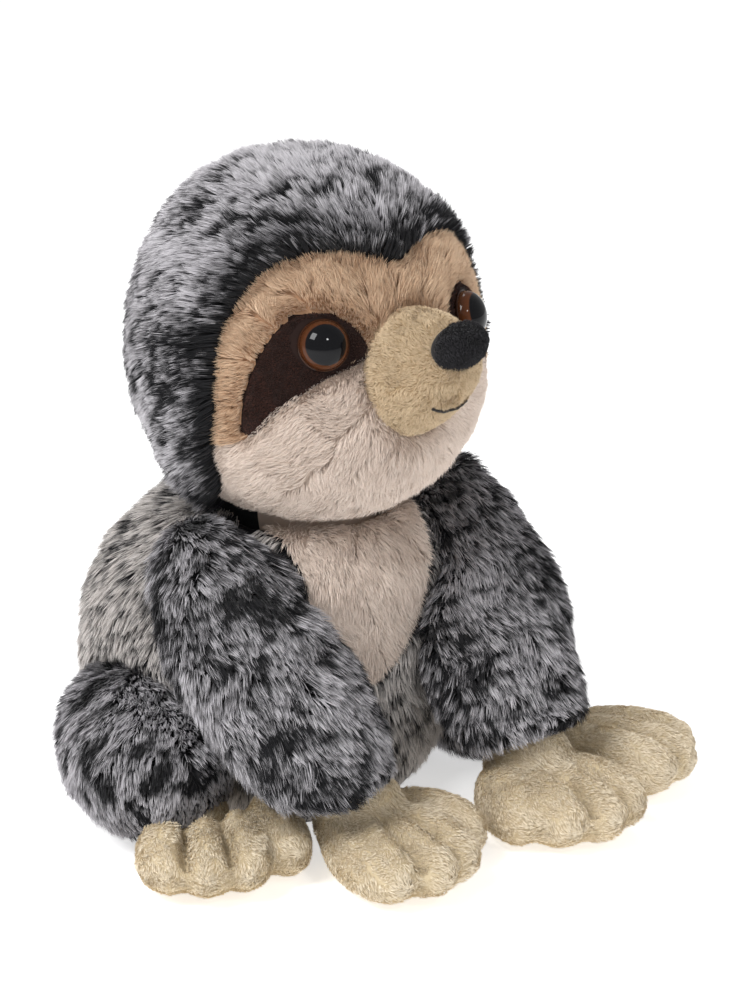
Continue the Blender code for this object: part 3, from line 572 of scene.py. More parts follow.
class Roots:
    """Random places over a skin, with their outward directions."""

    def __init__(self, thing, per_mm2, seed):
        mesh = thing.data
        mesh.calc_loop_triangles()
        corners = np.empty(len(mesh.loop_triangles) * 3, np.int32)
        mesh.loop_triangles.foreach_get("vertices", corners)
        corners = corners.reshape(-1, 3)
        points, normals = coordinates(thing), normals_of(thing)
        a, b, c = (points[corners[:, i]] for i in range(3))
        area = np.linalg.norm(np.cross(b - a, c - a), axis=1) / 2
        rng = np.random.default_rng(seed)
        count = int(area.sum() * 1e6 * per_mm2)
        # Spread evenly: each root takes the face at its own share of the area
        spread = (np.arange(count) + rng.uniform(0, 1, count)) / count * area.sum()
        face = np.searchsorted(np.cumsum(area), spread).clip(0, len(area) - 1)
        u, v = rng.uniform(0, 1, (2, count))
        over = u + v > 1
        u[over], v[over] = 1 - u[over], 1 - v[over]
        share = np.stack([1 - u - v, u, v], 1)[:, :, None]
        self.places = (points[corners[face]] * share).sum(1)
        self.normals = unit((normals[corners[face]] * share).sum(1))
        self.toy = in_toy(self.places)

    def every(self):
        """Chooses them all."""
        return np.ones(len(self.places), bool)

    def only(self, chosen):
        """Leaves the other roots out."""
        self.places, self.normals = self.places[chosen], self.normals[chosen]
        self.toy = self.toy[chosen]
        return self


def closest(places, points):
    """The number of the place closest to each point, and how far away it is."""
    tree = kdtree.KDTree(len(places))
    for index, place in enumerate(places):
        tree.insert(place, index)
    tree.balance()
    number, distance = zip(*(tree.find(point)[1:] for point in points))
    return np.array(number), np.array(distance)


def comb(name, on, chosen, flow, pile, material, seed, most=inf, **given):
    """The pile on the chosen roots as one mesh: a bent, pointed strand of two faces at each.

    It is thinned at random so that no more than most strands are left. given may hold, for all
    roots: scale, which shortens strands, tone, which lightens or darkens them, lift, which
    stands them up, and level, a height that they don't hang below. around is a BVH tree of
    skins that they stay out of.
    """
    chosen = np.flatnonzero(chosen)
    if len(chosen) > most:
        left = np.random.default_rng(len(chosen)).choice(len(chosen), most, replace=False)
        chosen = chosen[np.sort(left)]
    count = len(chosen)
    roots, normals, flow = on.places[chosen], on.normals[chosen], flow[chosen]
    scale, tone, lift = (
        np.broadcast_to(given.get(key, usual), len(on.places))[chosen]
        for key, usual in (("scale", 1.0), ("tone", 0.0), ("lift", 0.0))
    )
    around, level = given.get("around"), given.get("level")
    rng = np.random.default_rng(seed)
    area = count / pile.closeness * 1e-6
    tufts, locks = (
        rng.choice(count, min(count, max(1, int(area / size**2))), replace=False)
        for size in (pile.tuft, pile.lock)
    )
    tuft, lock = closest(roots[tufts], roots)[0], closest(roots[locks], roots)[0]

    along = unit(flow - normals * (flow * normals).sum(1, keepdims=True))
    beside = np.cross(normals, along)
    turn = rng.normal(0, 1, len(locks))[lock] * pile.lock_turn
    turn = np.radians(turn + rng.normal(0, pile.stray, count))[:, None]
    along = along * np.cos(turn) + beside * np.sin(turn)
    reach = pile.length * (1 + pile.uneven * rng.uniform(-1, 1, count))
    reach *= 1 + 0.12 * rng.uniform(-1, 1, len(locks))[lock]
    reach = (reach * scale)[:, None] / 2
    low, high = (
        np.radians(angle * (1 - 0.75 * lift) + rng.normal(0, pile.stray / 2, count))[:, None]
        for angle in pile.lean
    )
    start = roots - normals * pile.sink
    middle = start + reach * (normals * np.cos(low) + along * np.sin(low))
    end = middle + reach * (normals * np.cos(high) + along * np.sin(high))
    if pile.curl:
        middle += rng.normal(0, pile.curl, (count, 3))
        end += rng.normal(0, pile.curl, (count, 3))
    for group, heads, pull in ((lock, locks, pile.lock_pull), (tuft, tufts, pile.tuft_pull)):
        head = heads[group]
        middle += (middle[head] - middle) * pull * 0.35
        end += (end[head] - end) * pull

    room = np.ones(count)
    if around is not None:
        ways = unit(end - start)
        for index in range(count):
            hit = around.ray_cast(start[index] + normals[index] * 0.0006, ways[index], SEARCH)
            if hit[0] is not None:
                room[index] = min(1, hit[3] / (2 * reach[index, 0]))
    if level is not None:
        ragged = level[chosen] + rng.uniform(-RAGGED, RAGGED, count)
        drop = np.maximum(start[:, 2] - end[:, 2], 1e-6)
        room = np.minimum(room, np.clip((start[:, 2] - ragged) / drop, 0, 1))
    if around is not None or level is not None:
        keep = room > LEAST_ROOM
        middle = start + (middle - start) * room[:, None]
        end = start + (end - start) * room[:, None]
        start, middle, end = start[keep], middle[keep], end[keep]
        normals, lock, tuft, tone = normals[keep], lock[keep], tuft[keep], tone[keep]
        count = len(start)
    for part in (start, middle, end):
        part[:, 2] = np.maximum(part[:, 2], ABOVE_FLOOR)

    way = unit(end - start)
    flat = unit(np.cross(way, normals) + 1e-9)
    roll = np.radians(rng.uniform(-65, 65, count))[:, None]
    flat = flat * np.cos(roll) + np.cross(way, flat) * np.sin(roll)
    half = (pile.width / 2 * rng.uniform(0.8, 1.2, count))[:, None]
    points = np.stack([start, middle - flat * half, middle + flat * half, end], 1)
    shade = rng.normal(0, 0.45, count) + rng.normal(0, 0.6, len(tufts))[tuft]
    shade += rng.normal(0, 0.25, len(locks))[lock]
    return strands(name, points, shade + tone, material)


def strands(name, points, shade, material):
    """The mesh of a pile, with how far along each strand a point is and its own shade."""
    count = len(points)
    mesh = bpy.data.meshes.new(name)
    mesh.vertices.add(count * 4)
    mesh.loops.add(count * 6)
    mesh.polygons.add(count * 2)
    put(mesh.vertices, "co", points)
    number = np.arange(count)[:, None]
    put(mesh.loops, "vertex_index", np.array([0, 2, 1, 1, 2, 3]) + number * 4, np.int32)
    put(mesh.polygons, "loop_start", np.array([0, 3]) + number * 6, np.int32)
    put(mesh.polygons, "use_smooth", np.ones(count * 2), bool)
    mesh.update(calc_edges=True)
    mesh.validate()
    for key, values in (
        ("along", np.tile([0, 0.5, 0.5, 1], count)),
        ("shade", np.repeat(shade, 4)),
    ):
        put(mesh.attributes.new(key, "FLOAT", "POINT").data, "value", values)
    # Each strand has a cell of its own on the map, root to tip up the cell
    across = int(np.ceil(sqrt(count)))
    cell = np.stack([np.arange(count) % across, np.arange(count) // across], 1)
    corner = np.array([(0.5, 0.1), (0.8, 0.5), (0.2, 0.5), (0.2, 0.5), (0.8, 0.5), (0.5, 0.9)])
    layer = mesh.uv_layers.new(name="OFBake")
    put(layer.data, "uv", (cell[:, None] + corner[None]) / across)
    mesh.materials.append(material)
    return linked(name, mesh)


def node(tree, kind, inputs=(), **values):
    """A shader node. Its inputs are values, or the outputs of other nodes."""
    made = tree.nodes.new(kind)
    for name, value in values.items():
        setattr(made, name, value)
    return fed(tree, made, dict(inputs))


def fed(tree, made, inputs):
    """A node with its inputs set or linked."""
    for name, value in inputs.items():
        if isinstance(value, bpy.types.NodeSocket):
            tree.links.new(value, made.inputs[name])
        else:
            made.inputs[name].default_value = value
    return made


def math_node(tree, kind, *terms, clamp=False):
    """The output of one math node."""
    made = node(tree, "ShaderNodeMath", enumerate(terms), operation=kind, use_clamp=clamp)
    return made.outputs[0]


def combed_group():
    """The colour along a strand: roots to tips, with patches where the roots show further up."""
    found = bpy.data.node_groups.get("Combed Pile")
    if found:
        return found
    tree = bpy.data.node_groups.new("Combed Pile", "ShaderNodeTree")
    numbers = ("Turns At", "Softness", "Strand Variation", "Patch Scale", "Patch Strength")
    for name, way, kind in (
        ("Root", "INPUT", "Color"),
        ("Tip", "INPUT", "Color"),
        *((name, "INPUT", "Float") for name in numbers),
        ("Colour", "OUTPUT", "Color"),
        ("Roughness", "OUTPUT", "Float"),
    ):
        tree.interface.new_socket(name, in_out=way, socket_type=f"NodeSocket{kind}")
    given = node(tree, "NodeGroupInput").outputs
    result = node(tree, "NodeGroupOutput")
    noise = {
        "Detail": 3,
        "Roughness": 0.6,
        "Scale": given["Patch Scale"],
        "Vector": node(tree, "ShaderNodeTexCoord").outputs["Object"],
    }
    patches = node(tree, "ShaderNodeTexNoise", noise).outputs["Fac"]
    along = node(tree, "ShaderNodeAttribute", attribute_name="along").outputs["Fac"]
    own = node(tree, "ShaderNodeAttribute", attribute_name="shade").outputs["Fac"]
    centred = math_node(tree, "SUBTRACT", patches, 0.5)
    patch = math_node(tree, "MULTIPLY", centred, given["Patch Strength"])
    variety = math_node(tree, "MULTIPLY", own, given["Strand Variation"])
    shift = math_node(tree, "ADD", patch, variety)
    from_root = math_node(tree, "ADD", along, shift)
    less = math_node(tree, "SUBTRACT", from_root, given["Turns At"])
    ramp = math_node(tree, "DIVIDE", less, given["Softness"])
    share = math_node(tree, "ADD", ramp, 0.5, clamp=True)
    ends = {"Factor": share, "A": given["Root"], "B": given["Tip"]}
    mix = node(tree, "ShaderNodeMix", ends, data_type="RGBA")
    rough = math_node(tree, "MULTIPLY_ADD", share, -0.22, 0.85)
    fed(tree, result, {"Colour": mix.outputs["Result"], "Roughness": rough})
    return tree


def new_material(name):
    made = bpy.data.materials.new(name)
    made.use_nodes = True
    return made, made.node_tree, made.node_tree.nodes["Principled BSDF"]


def pile_material(name, root, tip, turns_at, softness, variety, patch, sheen=0.15):
    """A cloth whose strands go from the root's colour to the tip's."""
    found = bpy.data.materials.get(name)
    if found:
        return found
    made, tree, shader = new_material(name)
    looks = {
        "Root": (*root, 1),
        "Tip": (*tip, 1),
        "Turns At": turns_at,
        "Softness": softness,
        "Strand Variation": variety,
        "Patch Scale": patch[0],
        "Patch Strength": patch[1],
    }
    group = fed(tree, node(tree, "ShaderNodeGroup", node_tree=combed_group()), looks).outputs
    finish = {"Base Color": group["Colour"], "Roughness": group["Roughness"]}
    finish |= {"Sheen Weight": sheen, "Sheen Roughness": 0.5, "Specular IOR Level": 0.25}
    fed(tree, shader, finish)
    return made


def tinted(colour, share):
    return [c * share for c in colour]


def materials():
    """Every pile cloth by name."""
    own = bpy.context.scene.sloth_colours
    brown = (tinted(own.velboa, 0.5), tinted(own.velboa, 1.7))
    black = (tinted(own.nose, 0.4), tinted(own.nose, 1.8))
    fur_root = own.fur_root
    rows = (
        ("fur", "grey frosted fur", fur_root, own.fur_tip, 0.75, 0.60, 0.24, (300, 0.8)),
        ("back", "grey frosted back fur", fur_root, own.back_tip, 0.60, 0.62, 0.24, (300, 0.7)),
        ("tan", "tan plush", own.tan_root, own.tan_tip, 0.45, 0.9, 0.14, (60, 0.5)),
        ("cream", "cream plush", own.cream_root, own.cream_tip, 0.35, 0.9, 0.14, (60, 0.5)),
        ("khaki", "curly muzzle plush", own.khaki_root, own.khaki_tip, 0.40, 1.0, 0.12, (90, 0.3)),
        ("sand", "sand plush", own.sand_root, own.sand_tip, 0.40, 0.9, 0.16, (70, 0.5)),
        ("velboa", "dark brown velboa", *brown, 0.5, 0.9, 0.2, (90, 0.8), 0.05),
        ("nose", "black nose plush", *black, 0.5, 0.9, 0.2, (120, 0.6), 0.1),
    )
    return {key: pile_material(*looks) for key, *looks in rows}


def eye_material():
    """Moulded safety eye: black pupil and a brown ring with a darker edge, under gloss."""
    made, tree, shader = new_material("brown safety eye")
    spread = node(tree, "ShaderNodeAttribute", attribute_name="from_middle")
    ramp = node(tree, "ShaderNodeValToRGB", {"Fac": spread.outputs["Fac"]})
    iris = bpy.context.scene.sloth_colours.iris
    pupil = (0.004, 0.004, 0.005)
    stops = [(0.0, pupil), (0.76, pupil)]
    stops += [(at, tinted(iris, share)) for at, share in ((0.80, 0.8), (0.92, 0.55), (1.0, 0.15))]
    while len(ramp.color_ramp.elements) < len(stops):
        ramp.color_ramp.elements.new(0.5)
    for element, (place, colour) in zip(ramp.color_ramp.elements, stops):
        element.position = place
        element.color = (*colour, 1)
    places = node(tree, "ShaderNodeTexCoord").outputs["Object"]
    flecks = node(tree, "ShaderNodeTexNoise", {"Scale": 900, "Detail": 4, "Vector": places})
    depth = math_node(tree, "MULTIPLY_ADD", flecks.outputs["Fac"], 0.5, 0.75)
    mixed = node(
        tree, "ShaderNodeVectorMath", {0: ramp.outputs["Color"], "Scale": depth}, operation="SCALE"
    )
    gloss = {"Base Color": mixed.outputs[0], "Roughness": 0.05, "Specular IOR Level": 0.20}
    fed(tree, shader, gloss)
    return made


def thread_material():
    made, tree, shader = new_material("black thread")
    places = node(tree, "ShaderNodeTexCoord").outputs["Object"]
    twist = node(
        tree, "ShaderNodeTexWave", {"Scale": 900, "Vector": places}, bands_direction="DIAGONAL"
    ).outputs["Fac"]
    thread = bpy.context.scene.sloth_colours.thread
    ends = {"Factor": twist, "A": (*tinted(thread, 0.4), 1), "B": (*tinted(thread, 1.8), 1)}
    ramp = node(tree, "ShaderNodeMix", ends, data_type="RGBA")
    bump = node(tree, "ShaderNodeBump", {"Strength": 0.6, "Distance": 0.0002, "Height": twist})
    looks = {"Base Color": ramp.outputs["Result"], "Normal": bump.outputs["Normal"]}
    fed(tree, shader, looks | {"Roughness": 0.6})
    return made


def wear(thing, body, slot, *nodes, fill=None):
    """Puts a finished piece on its body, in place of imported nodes."""
    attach(thing, body)
    if nodes:
        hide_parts(*nodes)
    return thing


def skin(name):
    return bpy.data.objects[name]


def tree_of(*names):
    """One BVH tree over several skins."""
    points, faces = [], []
    for thing in map(skin, names):
        base = len(points)
        points += [vertex.co.copy() for vertex in thing.data.vertices]
        faces += [[base + i for i in face.vertices] for face in thing.data.polygons]
    return BVHTree.FromPolygons(points, faces)


def gap_to(name, points, most=0.02):
    """How far each point is from a skin, up to most."""
    tree = tree_of(name)
    found = (tree.find_nearest(point, most)[3] for point in points)
    return np.fromiter((most if gap is None else gap for gap in found), float, len(points))


def seam_of_hood():
    """Points along the seam round the face, in toy space."""
    points = []
    for (ax, az), (bx, bz) in zip(FACE, FACE[1:] + FACE[:1]):
        for share in (0.0, 0.33, 0.67):
            x, z = ax + (bx - ax) * share, az + (bz - az) * share
            if z > HEAD_BOTTOM + 0.008:
                points.append(head_place(x, z, FACE_DEPTH))
    return points


def edges_of_patches():
    """Points along the seams round the eye patches, in toy space."""
    return [head_place(x, z, FACE_DEPTH) for edge in PATCHES.values() for x, z in edge]


def panelled(thing, cloths, panel_of):
    """Gives each face the cloth whose number panel_of works out from its place."""
    for cloth in cloths:
        thing.data.materials.append(cloth)
    centres = in_toy(np.array([face.center for face in thing.data.polygons]))
    put(thing.data.polygons, "material_index", panel_of(centres), np.int32)


class Step:
    """What the steps below share."""

    bl_options = {"REGISTER", "UNDO"}


class SLOTH_OT_skins(Step, bpy.types.Operator):
    """Makes the stuffed skins of the head, torso, arms and legs"""

    bl_idname = "sloth.skins"
    bl_label = "Stuffed Skins"

    def execute(self, context):
        cloths = materials()
        head = form_ball("head_skin", HEAD_FORM, FACE_DEPTH, 128, 96)
        toy = in_toy(coordinates(head))
        # The crown and nape lie flatter than the plain form
        crown = smooth_step(0.150, 0.186, toy[:, 2]) * smooth_step(-0.035, 0.010, toy[:, 1])
        moved_out(head, -(CROWN_DROP * crown)[:, None])
        pocket = sphere(48, 32, NECK_POCKET, NECK + OFFSET)
        cut = head.modifiers.new("neck", "BOOLEAN")
        cut.operation = "DIFFERENCE"
        cut.object = pocket
        apply_modifiers(head)
        bpy.data.objects.remove(pocket)
        panelled(head, [cloths[key] for key in ("fur", "tan", "cream", "velboa")], face_region)
        wear(head, "head", "fibre", "head_stuffing", fill=0.9)

        torso = from_nodes("torso_skin", ("torso_stuffing", "pellet_bag"))
        remeshed(torso, 0.0022, 12)
        stuffed(torso, 4.0, SKIN_SWELL)
        panelled(torso, (cloths["back"], cloths["cream"]), in_bib)
        wear(torso, "torso", "fibre", "torso_stuffing", "pellet_bag", fill=0.8)
        for name in SIDES:
            for body, part in (("arm", "sleeve_skin"), ("leg", "leg_skin")):
                filling = f"{body}_stuffing_{name}"
                limb = from_nodes(f"{part}_{name}", (filling,))
                remeshed(limb, 0.0020, 10)
                stuffed(limb, 4.0, SKIN_SWELL)
                self.drawn_in(limb, body)
                limb.data.materials.append(cloths["fur"])
                wear(limb, f"{body}_{name}", "fibre", filling, fill=0.75)
        rise = UPRIGHT * NECK_RADIUS * 0.97
        width = NECK_RADIUS * 1.94
        form = Form(NECK - rise, NECK + rise, width, width, PLAIN_STATIONS, 2.0)
        core = form_ball("neck_core", form, 0.0, 48, 32)
        nape = NECK.y - 0.010
        panelled(core, (cloths["cream"], cloths["fur"]), lambda toy: toy[:, 1] > nape)
        wear(core, "neck", "fibre", "neck_stuffing", fill=0.9)
        return {"FINISHED"}

    def drawn_in(self, limb, body):
        """The sleeve's hem gathers up above the hand, and the thigh draws back from the foot."""
        points = coordinates(limb)
        x, y, z = in_toy(points).T
        aside, out = np.abs(x), np.sign(x)
        if body == "arm":
            outer = smooth_step(0.036, 0.064, aside)
            points[:, 0] -= 0.009 * out * outer * fade(0.030, 0.066, z)
            points[:, 2] += np.maximum(0.036 - z, 0) * (0.46 + 0.2 * outer)
        else:
            bulge = smooth_step(0.052, 0.074, aside)
            points[:, 0] += 0.003 * out * bulge * smooth_step(-0.040, -0.010, y)
            inner = fade(0.044, 0.064, aside)
            ahead = fade(-0.034, -0.008, y)
            low = fade(0.020, 0.044, z)
            points[:, 1] += 0.013 * inner * ahead
            points[:, 1] += 0.006 * (1 - inner) * ahead * low
        set_coordinates(limb, points)


class SLOTH_OT_hood(Step, bpy.types.Operator):
    """Combs the hood's long frosted fur back from the face"""

    bl_idname = "sloth.hood"
    bl_label = "Hood"

    def execute(self, context):
        piles = context.scene.sloth_piles
        pile = Pile(piles.fur * 0.9, 0.00030, 7.6 * piles.closeness, lean=(24, 60))
        roots = Roots(skin("head_skin"), pile.closeness, 11)
        fur = (face_region(roots.toy) == 0) & (roots.toy[:, 2] - NECK.z > -0.02)
        toy = roots.only(fur & (from_neck(roots.toy) > HOOD_CLEAR)).toy
        x, y, z = toy.T
        from_seam = closest(seam_of_hood(), toy)[1]
        lift = np.where(x > 0, 0.25, 0.55) * peak(from_seam, 0.006)
        rim = fade(0.100, 0.125, z) * fade(0.010, 0.030, y)
        lift = np.maximum(lift, 0.8 * rim)
        behind = smooth_step(-0.01, 0.05, y)
        flow = np.stack([x * 4, 1 - behind * 0.75, -0.25 - behind * 1.1], 1)
        # The top of the hood is lighter: painted light from above, added to the fur's own mottle.
        tone = mottle(toy, from_seam, 3) + 0.7 * smooth_step(0.155, 0.190, z)
        tone -= 1.8 * peak(from_seam, 0.0075)
        around = tree_of("torso_skin", "sleeve_skin_right", "sleeve_skin_left")
        for name, side in SIDES.items():
            made = comb(
                f"hood_pile_{name}", roots, x * side >= 0, flow, pile, materials()["fur"],
                21 + side, MOST["hood"], tone=tone, lift=lift, scale=1 + 0.45 * lift,
                around=around,
            )
            wear(made, "head", "grey_fur", "hood_fur")
        return {"FINISHED"}


class SLOTH_OT_face(Step, bpy.types.Operator):
    """Combs the forehead and cheeks and sews on the eye patches"""

    bl_idname = "sloth.face"
    bl_label = "Face"

    def execute(self, context):
        piles = context.scene.sloth_piles
        cloths = materials()
        around = tree_of("torso_skin", "sleeve_skin_right", "sleeve_skin_left")
        fine = soft_pile(piles.forehead, 0.00024, 13 * piles.closeness, (34, 66))
        roots = Roots(skin("head_skin"), fine.closeness, 12)
        region = face_region(roots.toy)
        sewn = (region == 1) | (region == 2)
        region = region[sewn]
        toy = roots.only(sewn).toy
        x, _, z = toy.T
        muzzle = MUZZLE_ROOT.lerp(MUZZLE_TIP, 0.5)
        ring = np.hypot(x / 0.0130, (z - muzzle.z + 0.003) / 0.0150)
        reach = ring > 1
        # Strands stand up and are shorter where they meet the muzzle, the patches and the hood
        beside = np.max(
            [
                fade(1.05, 1.4, ring),
                0.7 * fade(0.001, 0.007, closest(seam_of_hood(), toy)[1]),
                fade(0.001, 0.006, closest(edges_of_patches(), toy)[1]),
            ],
            axis=0,
        )
        from_eye = np.min([np.hypot(x - EYE_AT[0] * s, z - EYE_AT[1]) for s in (-1, 1)], axis=0)
        flow = toy - (0, -0.045, 0.138) + (0, 0.004, 0.012)
        short = (0.75 + 0.25 * smooth_step(0.008, 0.02, from_eye)) * (1 - 0.45 * beside)
        made = comb(
            "forehead_pile", roots, (region == 1) & reach & (from_eye > 0.0085), flow, fine,
            cloths["tan"], 31, scale=short, lift=beside,
        )
        wear(made, "head", "tan_plush", "forehead_panel")
        soft = replace(fine, length=piles.cheek)
        flow = toy - (0, -0.050, 0.134) + (0, 0, -0.010)
        for name, side in SIDES.items():
            made = comb(
                f"cheek_pile_{name}", roots, (region == 2) & reach & (x * side >= 0), flow, soft,
                cloths["cream"], 32 + side, around=around, scale=1 - 0.4 * beside, lift=beside,
            )
            wear(made, "head", "cream_plush", f"cheek_{name}")
            self.nap(name, side, self.patch(name, cloths["velboa"]))
        return {"FINISHED"}

    def nap(self, name, side, patch):
        """Short nap over an eye patch, clear of its eye."""
        piles = bpy.context.scene.sloth_piles
        nap = Pile(
            piles.velboa, 0.00020, 12 * piles.closeness, lean=(20, 50), tuft=0.0008,
            lock=0.004, tuft_pull=0.3, lock_pull=0.1, lock_turn=20, stray=14, sink=0.0001,
        )
        roots = Roots(patch, nap.closeness, 35)
        x, _, z = roots.toy.T
        clear = np.hypot(x - EYE_AT[0] * side, z - EYE_AT[1]) > 0.0070
        flow = roots.toy - (EYE_AT[0] * side * 0.2, -0.045, 0.150)
        front = clear & (roots.normals[:, 1] < 0.1)
        cloth = patch.data.materials[0]
        made = comb(f"eye_patch_nap_{name}", roots, front, flow, nap, cloth, 36)
        wear(made, "head", "brown_velboa")

    def patch(self, name, cloth):
        """A thin closed panel that follows the head inside the eye patch's seam."""
        outline = PATCHES[name]
        step = 0.0011
        across, up = (np.arange(min(row), max(row), step) for row in zip(*outline))
        lattice = np.array([(x, z) for x in across for z in up])
        apart = np.linalg.norm(lattice[:, None] - np.array(outline)[None], axis=2)
        inside = within(outline, *lattice.T) & (apart.min(axis=1) > step * 0.7)
        flat = [Vector(p) for p in (*outline, *lattice[inside])]
        ring = [(i, (i + 1) % len(outline)) for i in range(len(outline))]
        flat, _, faces, _, _, _ = delaunay_2d_cdt(flat, ring, [], 1, 1e-7)
        base = len(flat)
        points = [head_place(p.x, p.y, inset) for inset in (0.0032, 0.0052) for p in flat]
        edges = [(a, b) for face in faces for a, b in zip(face, [*face[1:], face[0]])]
        used = Counter(map(frozenset, edges))
        whole = [list(face) for face in faces] + [[i + base for i in face[::-1]] for face in faces]
        whole += [[b, a, a + base, b + base] for a, b in edges if used[frozenset((a, b))] == 1]
        mesh = bpy.data.meshes.new(f"eye_patch_panel_{name}")
        mesh.from_pydata([tuple(p + OFFSET) for p in points], [], whole)
        mesh.update()
        made = linked(mesh.name, mesh)
        with edit_mode(made):
            bpy.ops.mesh.normals_make_consistent(inside=False)
        bpy.ops.object.shade_smooth_by_angle(angle=radians(50))
        mesh.materials.append(cloth)
        return wear(made, "head", "brown_velboa", f"eye_patch_{name}")


def head_place(x, z, inset):
    """The place on the front of the head, set in, that has this X and Z."""
    share = (z - HEAD_BOTTOM - inset) / (HEAD_HEIGHT - 2 * inset)
    centre, half_width, half_depth = HEAD_FORM.section(share, inset)
    return Vector((x, centre.y - half_depth * sqrt(max(1 - (x / half_width) ** 2, 0)), z))


def head_facing(x, z, inset):
    here = head_place(x, z, inset)
    sideways = head_place(x + 0.0003, z, inset) - here
    upwards = head_place(x, z + 0.0003, inset) - here
    return here, sideways.cross(upwards).normalized()


class SLOTH_OT_eyes(Step, bpy.types.Operator):
    """Sets the two domed safety eyes in their patches"""

    bl_idname = "sloth.eyes"
    bl_label = "Eyes"

    def execute(self, context):
        cloth = eye_material()
        low, rim = -0.0010, EYE_RIM
        profile = [(0.0, low), (0.90, low), (0.975, -0.0006), (1, 0.0002)]
        profile += [(1, rim * 0.75), (0.965, rim)]
        # The dome starts a step inside the rim
        turns = [radians(90) * (1 - ring / 13) for ring in range(14)]
        profile += [(0.945 * sin(turn), rim + EYE_DOME * cos(turn)) for turn in turns]
        points = [(max(EYE_RADIUS * share, 0.0), 0, height) for share, height in profile]
        lines = [(i, i + 1) for i in range(len(points) - 1)]
        for name, side in SIDES.items():
            seat, outward = head_facing(EYE_AT[0] * side, EYE_AT[1], 0.0030)
            place = Matrix.Translation(seat - outward * 0.0006 + OFFSET)
            place = place @ outward.to_track_quat("Z", "Y").to_matrix().to_4x4()
            mesh = bpy.data.meshes.new(f"safety_eye_{name}")
            mesh.from_pydata(points, lines, [])
            made = linked(mesh.name, mesh)
            with edit_mode(made):
                bpy.ops.mesh.spin(steps=64, angle=2 * pi, center=(0, 0, 0), axis=(0, 0, 1))
                bpy.ops.mesh.select_all(action="SELECT")
                bpy.ops.mesh.remove_doubles(threshold=WELD)
                bpy.ops.mesh.normals_make_consistent(inside=False)
            bpy.ops.object.shade_smooth_by_angle(angle=radians(40))
            spread = np.hypot(*coordinates(made)[:, :2].T) / EYE_RADIUS
            put(mesh.attributes.new("from_middle", "FLOAT", "POINT").data, "value", spread)
            mesh.transform(place)
            mesh.materials.append(cloth)
            wear(made, "head", "eye_plastic", f"eye_{name}", f"lock_washer_{name}")
        return {"FINISHED"}


class SLOTH_OT_muzzle(Step, bpy.types.Operator):
    """Makes the muzzle, the nose pad and the stitched mouth"""

    bl_idname = "sloth.muzzle"
    bl_label = "Muzzle, Nose and Mouth"

    def execute(self, context):
        piles = context.scene.sloth_piles
        cloths = materials()
        muzzle = form_ball("muzzle_skin", MUZZLE_FORM, 0.0011, 96, 72)
        points, normals = coordinates(muzzle), normals_of(muzzle)
        x, _, z = in_toy(points).T
        # The centre seam under the nose pulls in a little
        low = smooth_step(MOUTH_HEIGHT - 0.008, MOUTH_HEIGHT, z)
        high = fade(MOUTH_HEIGHT + 0.008, MOUTH_HEIGHT + 0.012, z)
        seam = peak(x, 0.0011) * low * high
        points += normals * (-0.0010 * seam)[:, None]
        points += normals * (0.0005 * drift(points, 0.012, 5))[:, None]
        set_coordinates(muzzle, points)
        muzzle.data.materials.append(cloths["khaki"])
        wear(muzzle, "head", "khaki_plush", "muzzle_panel", "muzzle_stuffing", fill=0.9)
        nap = Pile(
            piles.muzzle, 0.00022, 16 * piles.closeness, lean=(25, 65), tuft=0.0009, lock=0.003,
            tuft_pull=0.3, lock_pull=0.1, lock_turn=35, stray=22, curl=0.00012, sink=0.0002,
        )
        roots = Roots(muzzle, nap.closeness, 41)
        toy = roots.toy
        ahead = np.array([head_place(min(max(x, -0.045), 0.045), z, 0.004).y for x, _, z in toy])
        front = toy[:, 1] < ahead - 0.0005
        flow = toy - (0, -0.055, 0.147)
        made = comb("muzzle_pile", roots, front, flow, nap, cloths["khaki"], 42)
        wear(made, "head", "khaki_plush")

        away = (Matrix.Rotation(radians(NOSE_TILT), 3, "X") @ Vector((0, -1, 0))) * 0.0052
        form = Form(NOSE_AT - away, NOSE_AT + away, 0.0172, 0.0138, PLAIN_STATIONS, 2.1)
        nose = form_ball("nose_skin", form, 0.0, 64, 40)
        nose.data.materials.append(cloths["nose"])
        wear(nose, "head", "black_plush", "nose_pad", fill=0.9)
        short = replace(nap, length=0.0011, closeness=14 * piles.closeness)
        roots = Roots(nose, short.closeness, 43)
        flow = np.tile((0.0, 0.3, -1.0), (len(roots.toy), 1))
        front = roots.toy[:, 1] < -0.0560
        made = comb("nose_nap", roots, front, flow, short, cloths["nose"], 44)
        wear(made, "head", "black_plush")
        self.mouth()
        return {"FINISHED"}

    def mouth(self):
        """A row of black thread stitches that smiles a little."""
        tree = tree_of("muzzle_skin")
        data = bpy.data.curves.new("mouth_line", "CURVE")
        data.dimensions = "3D"
        count = 15
        spline = data.splines.new("BEZIER")
        spline.bezier_points.add(count - 1)
        for i, point in enumerate(spline.bezier_points):
            share = 2 * i / (count - 1) - 1
            x, z = share * 0.0060, MOUTH_HEIGHT + 0.0016 * share**2
            ahead = Vector((x, 2 * MUZZLE_TIP.y, z)) + OFFSET
            place, outward, _, _ = tree.ray_cast(ahead, Vector((0, 1, 0)))
            point.co = place + outward * (0.0010 - 0.00015 * (i % 2))
            point.handle_left_type = point.handle_right_type = "AUTO"
        data.bevel_depth = 0.0004
        data.bevel_resolution = 3
        data.use_fill_caps = True
        pick(linked("mouth_thread", data))
        bpy.ops.object.convert(target="MESH")
        made = bpy.context.object
        bpy.ops.object.shade_smooth()
        made.data.materials.append(thread_material())
        wear(made, "head", "black_thread", "mouth_stitch")


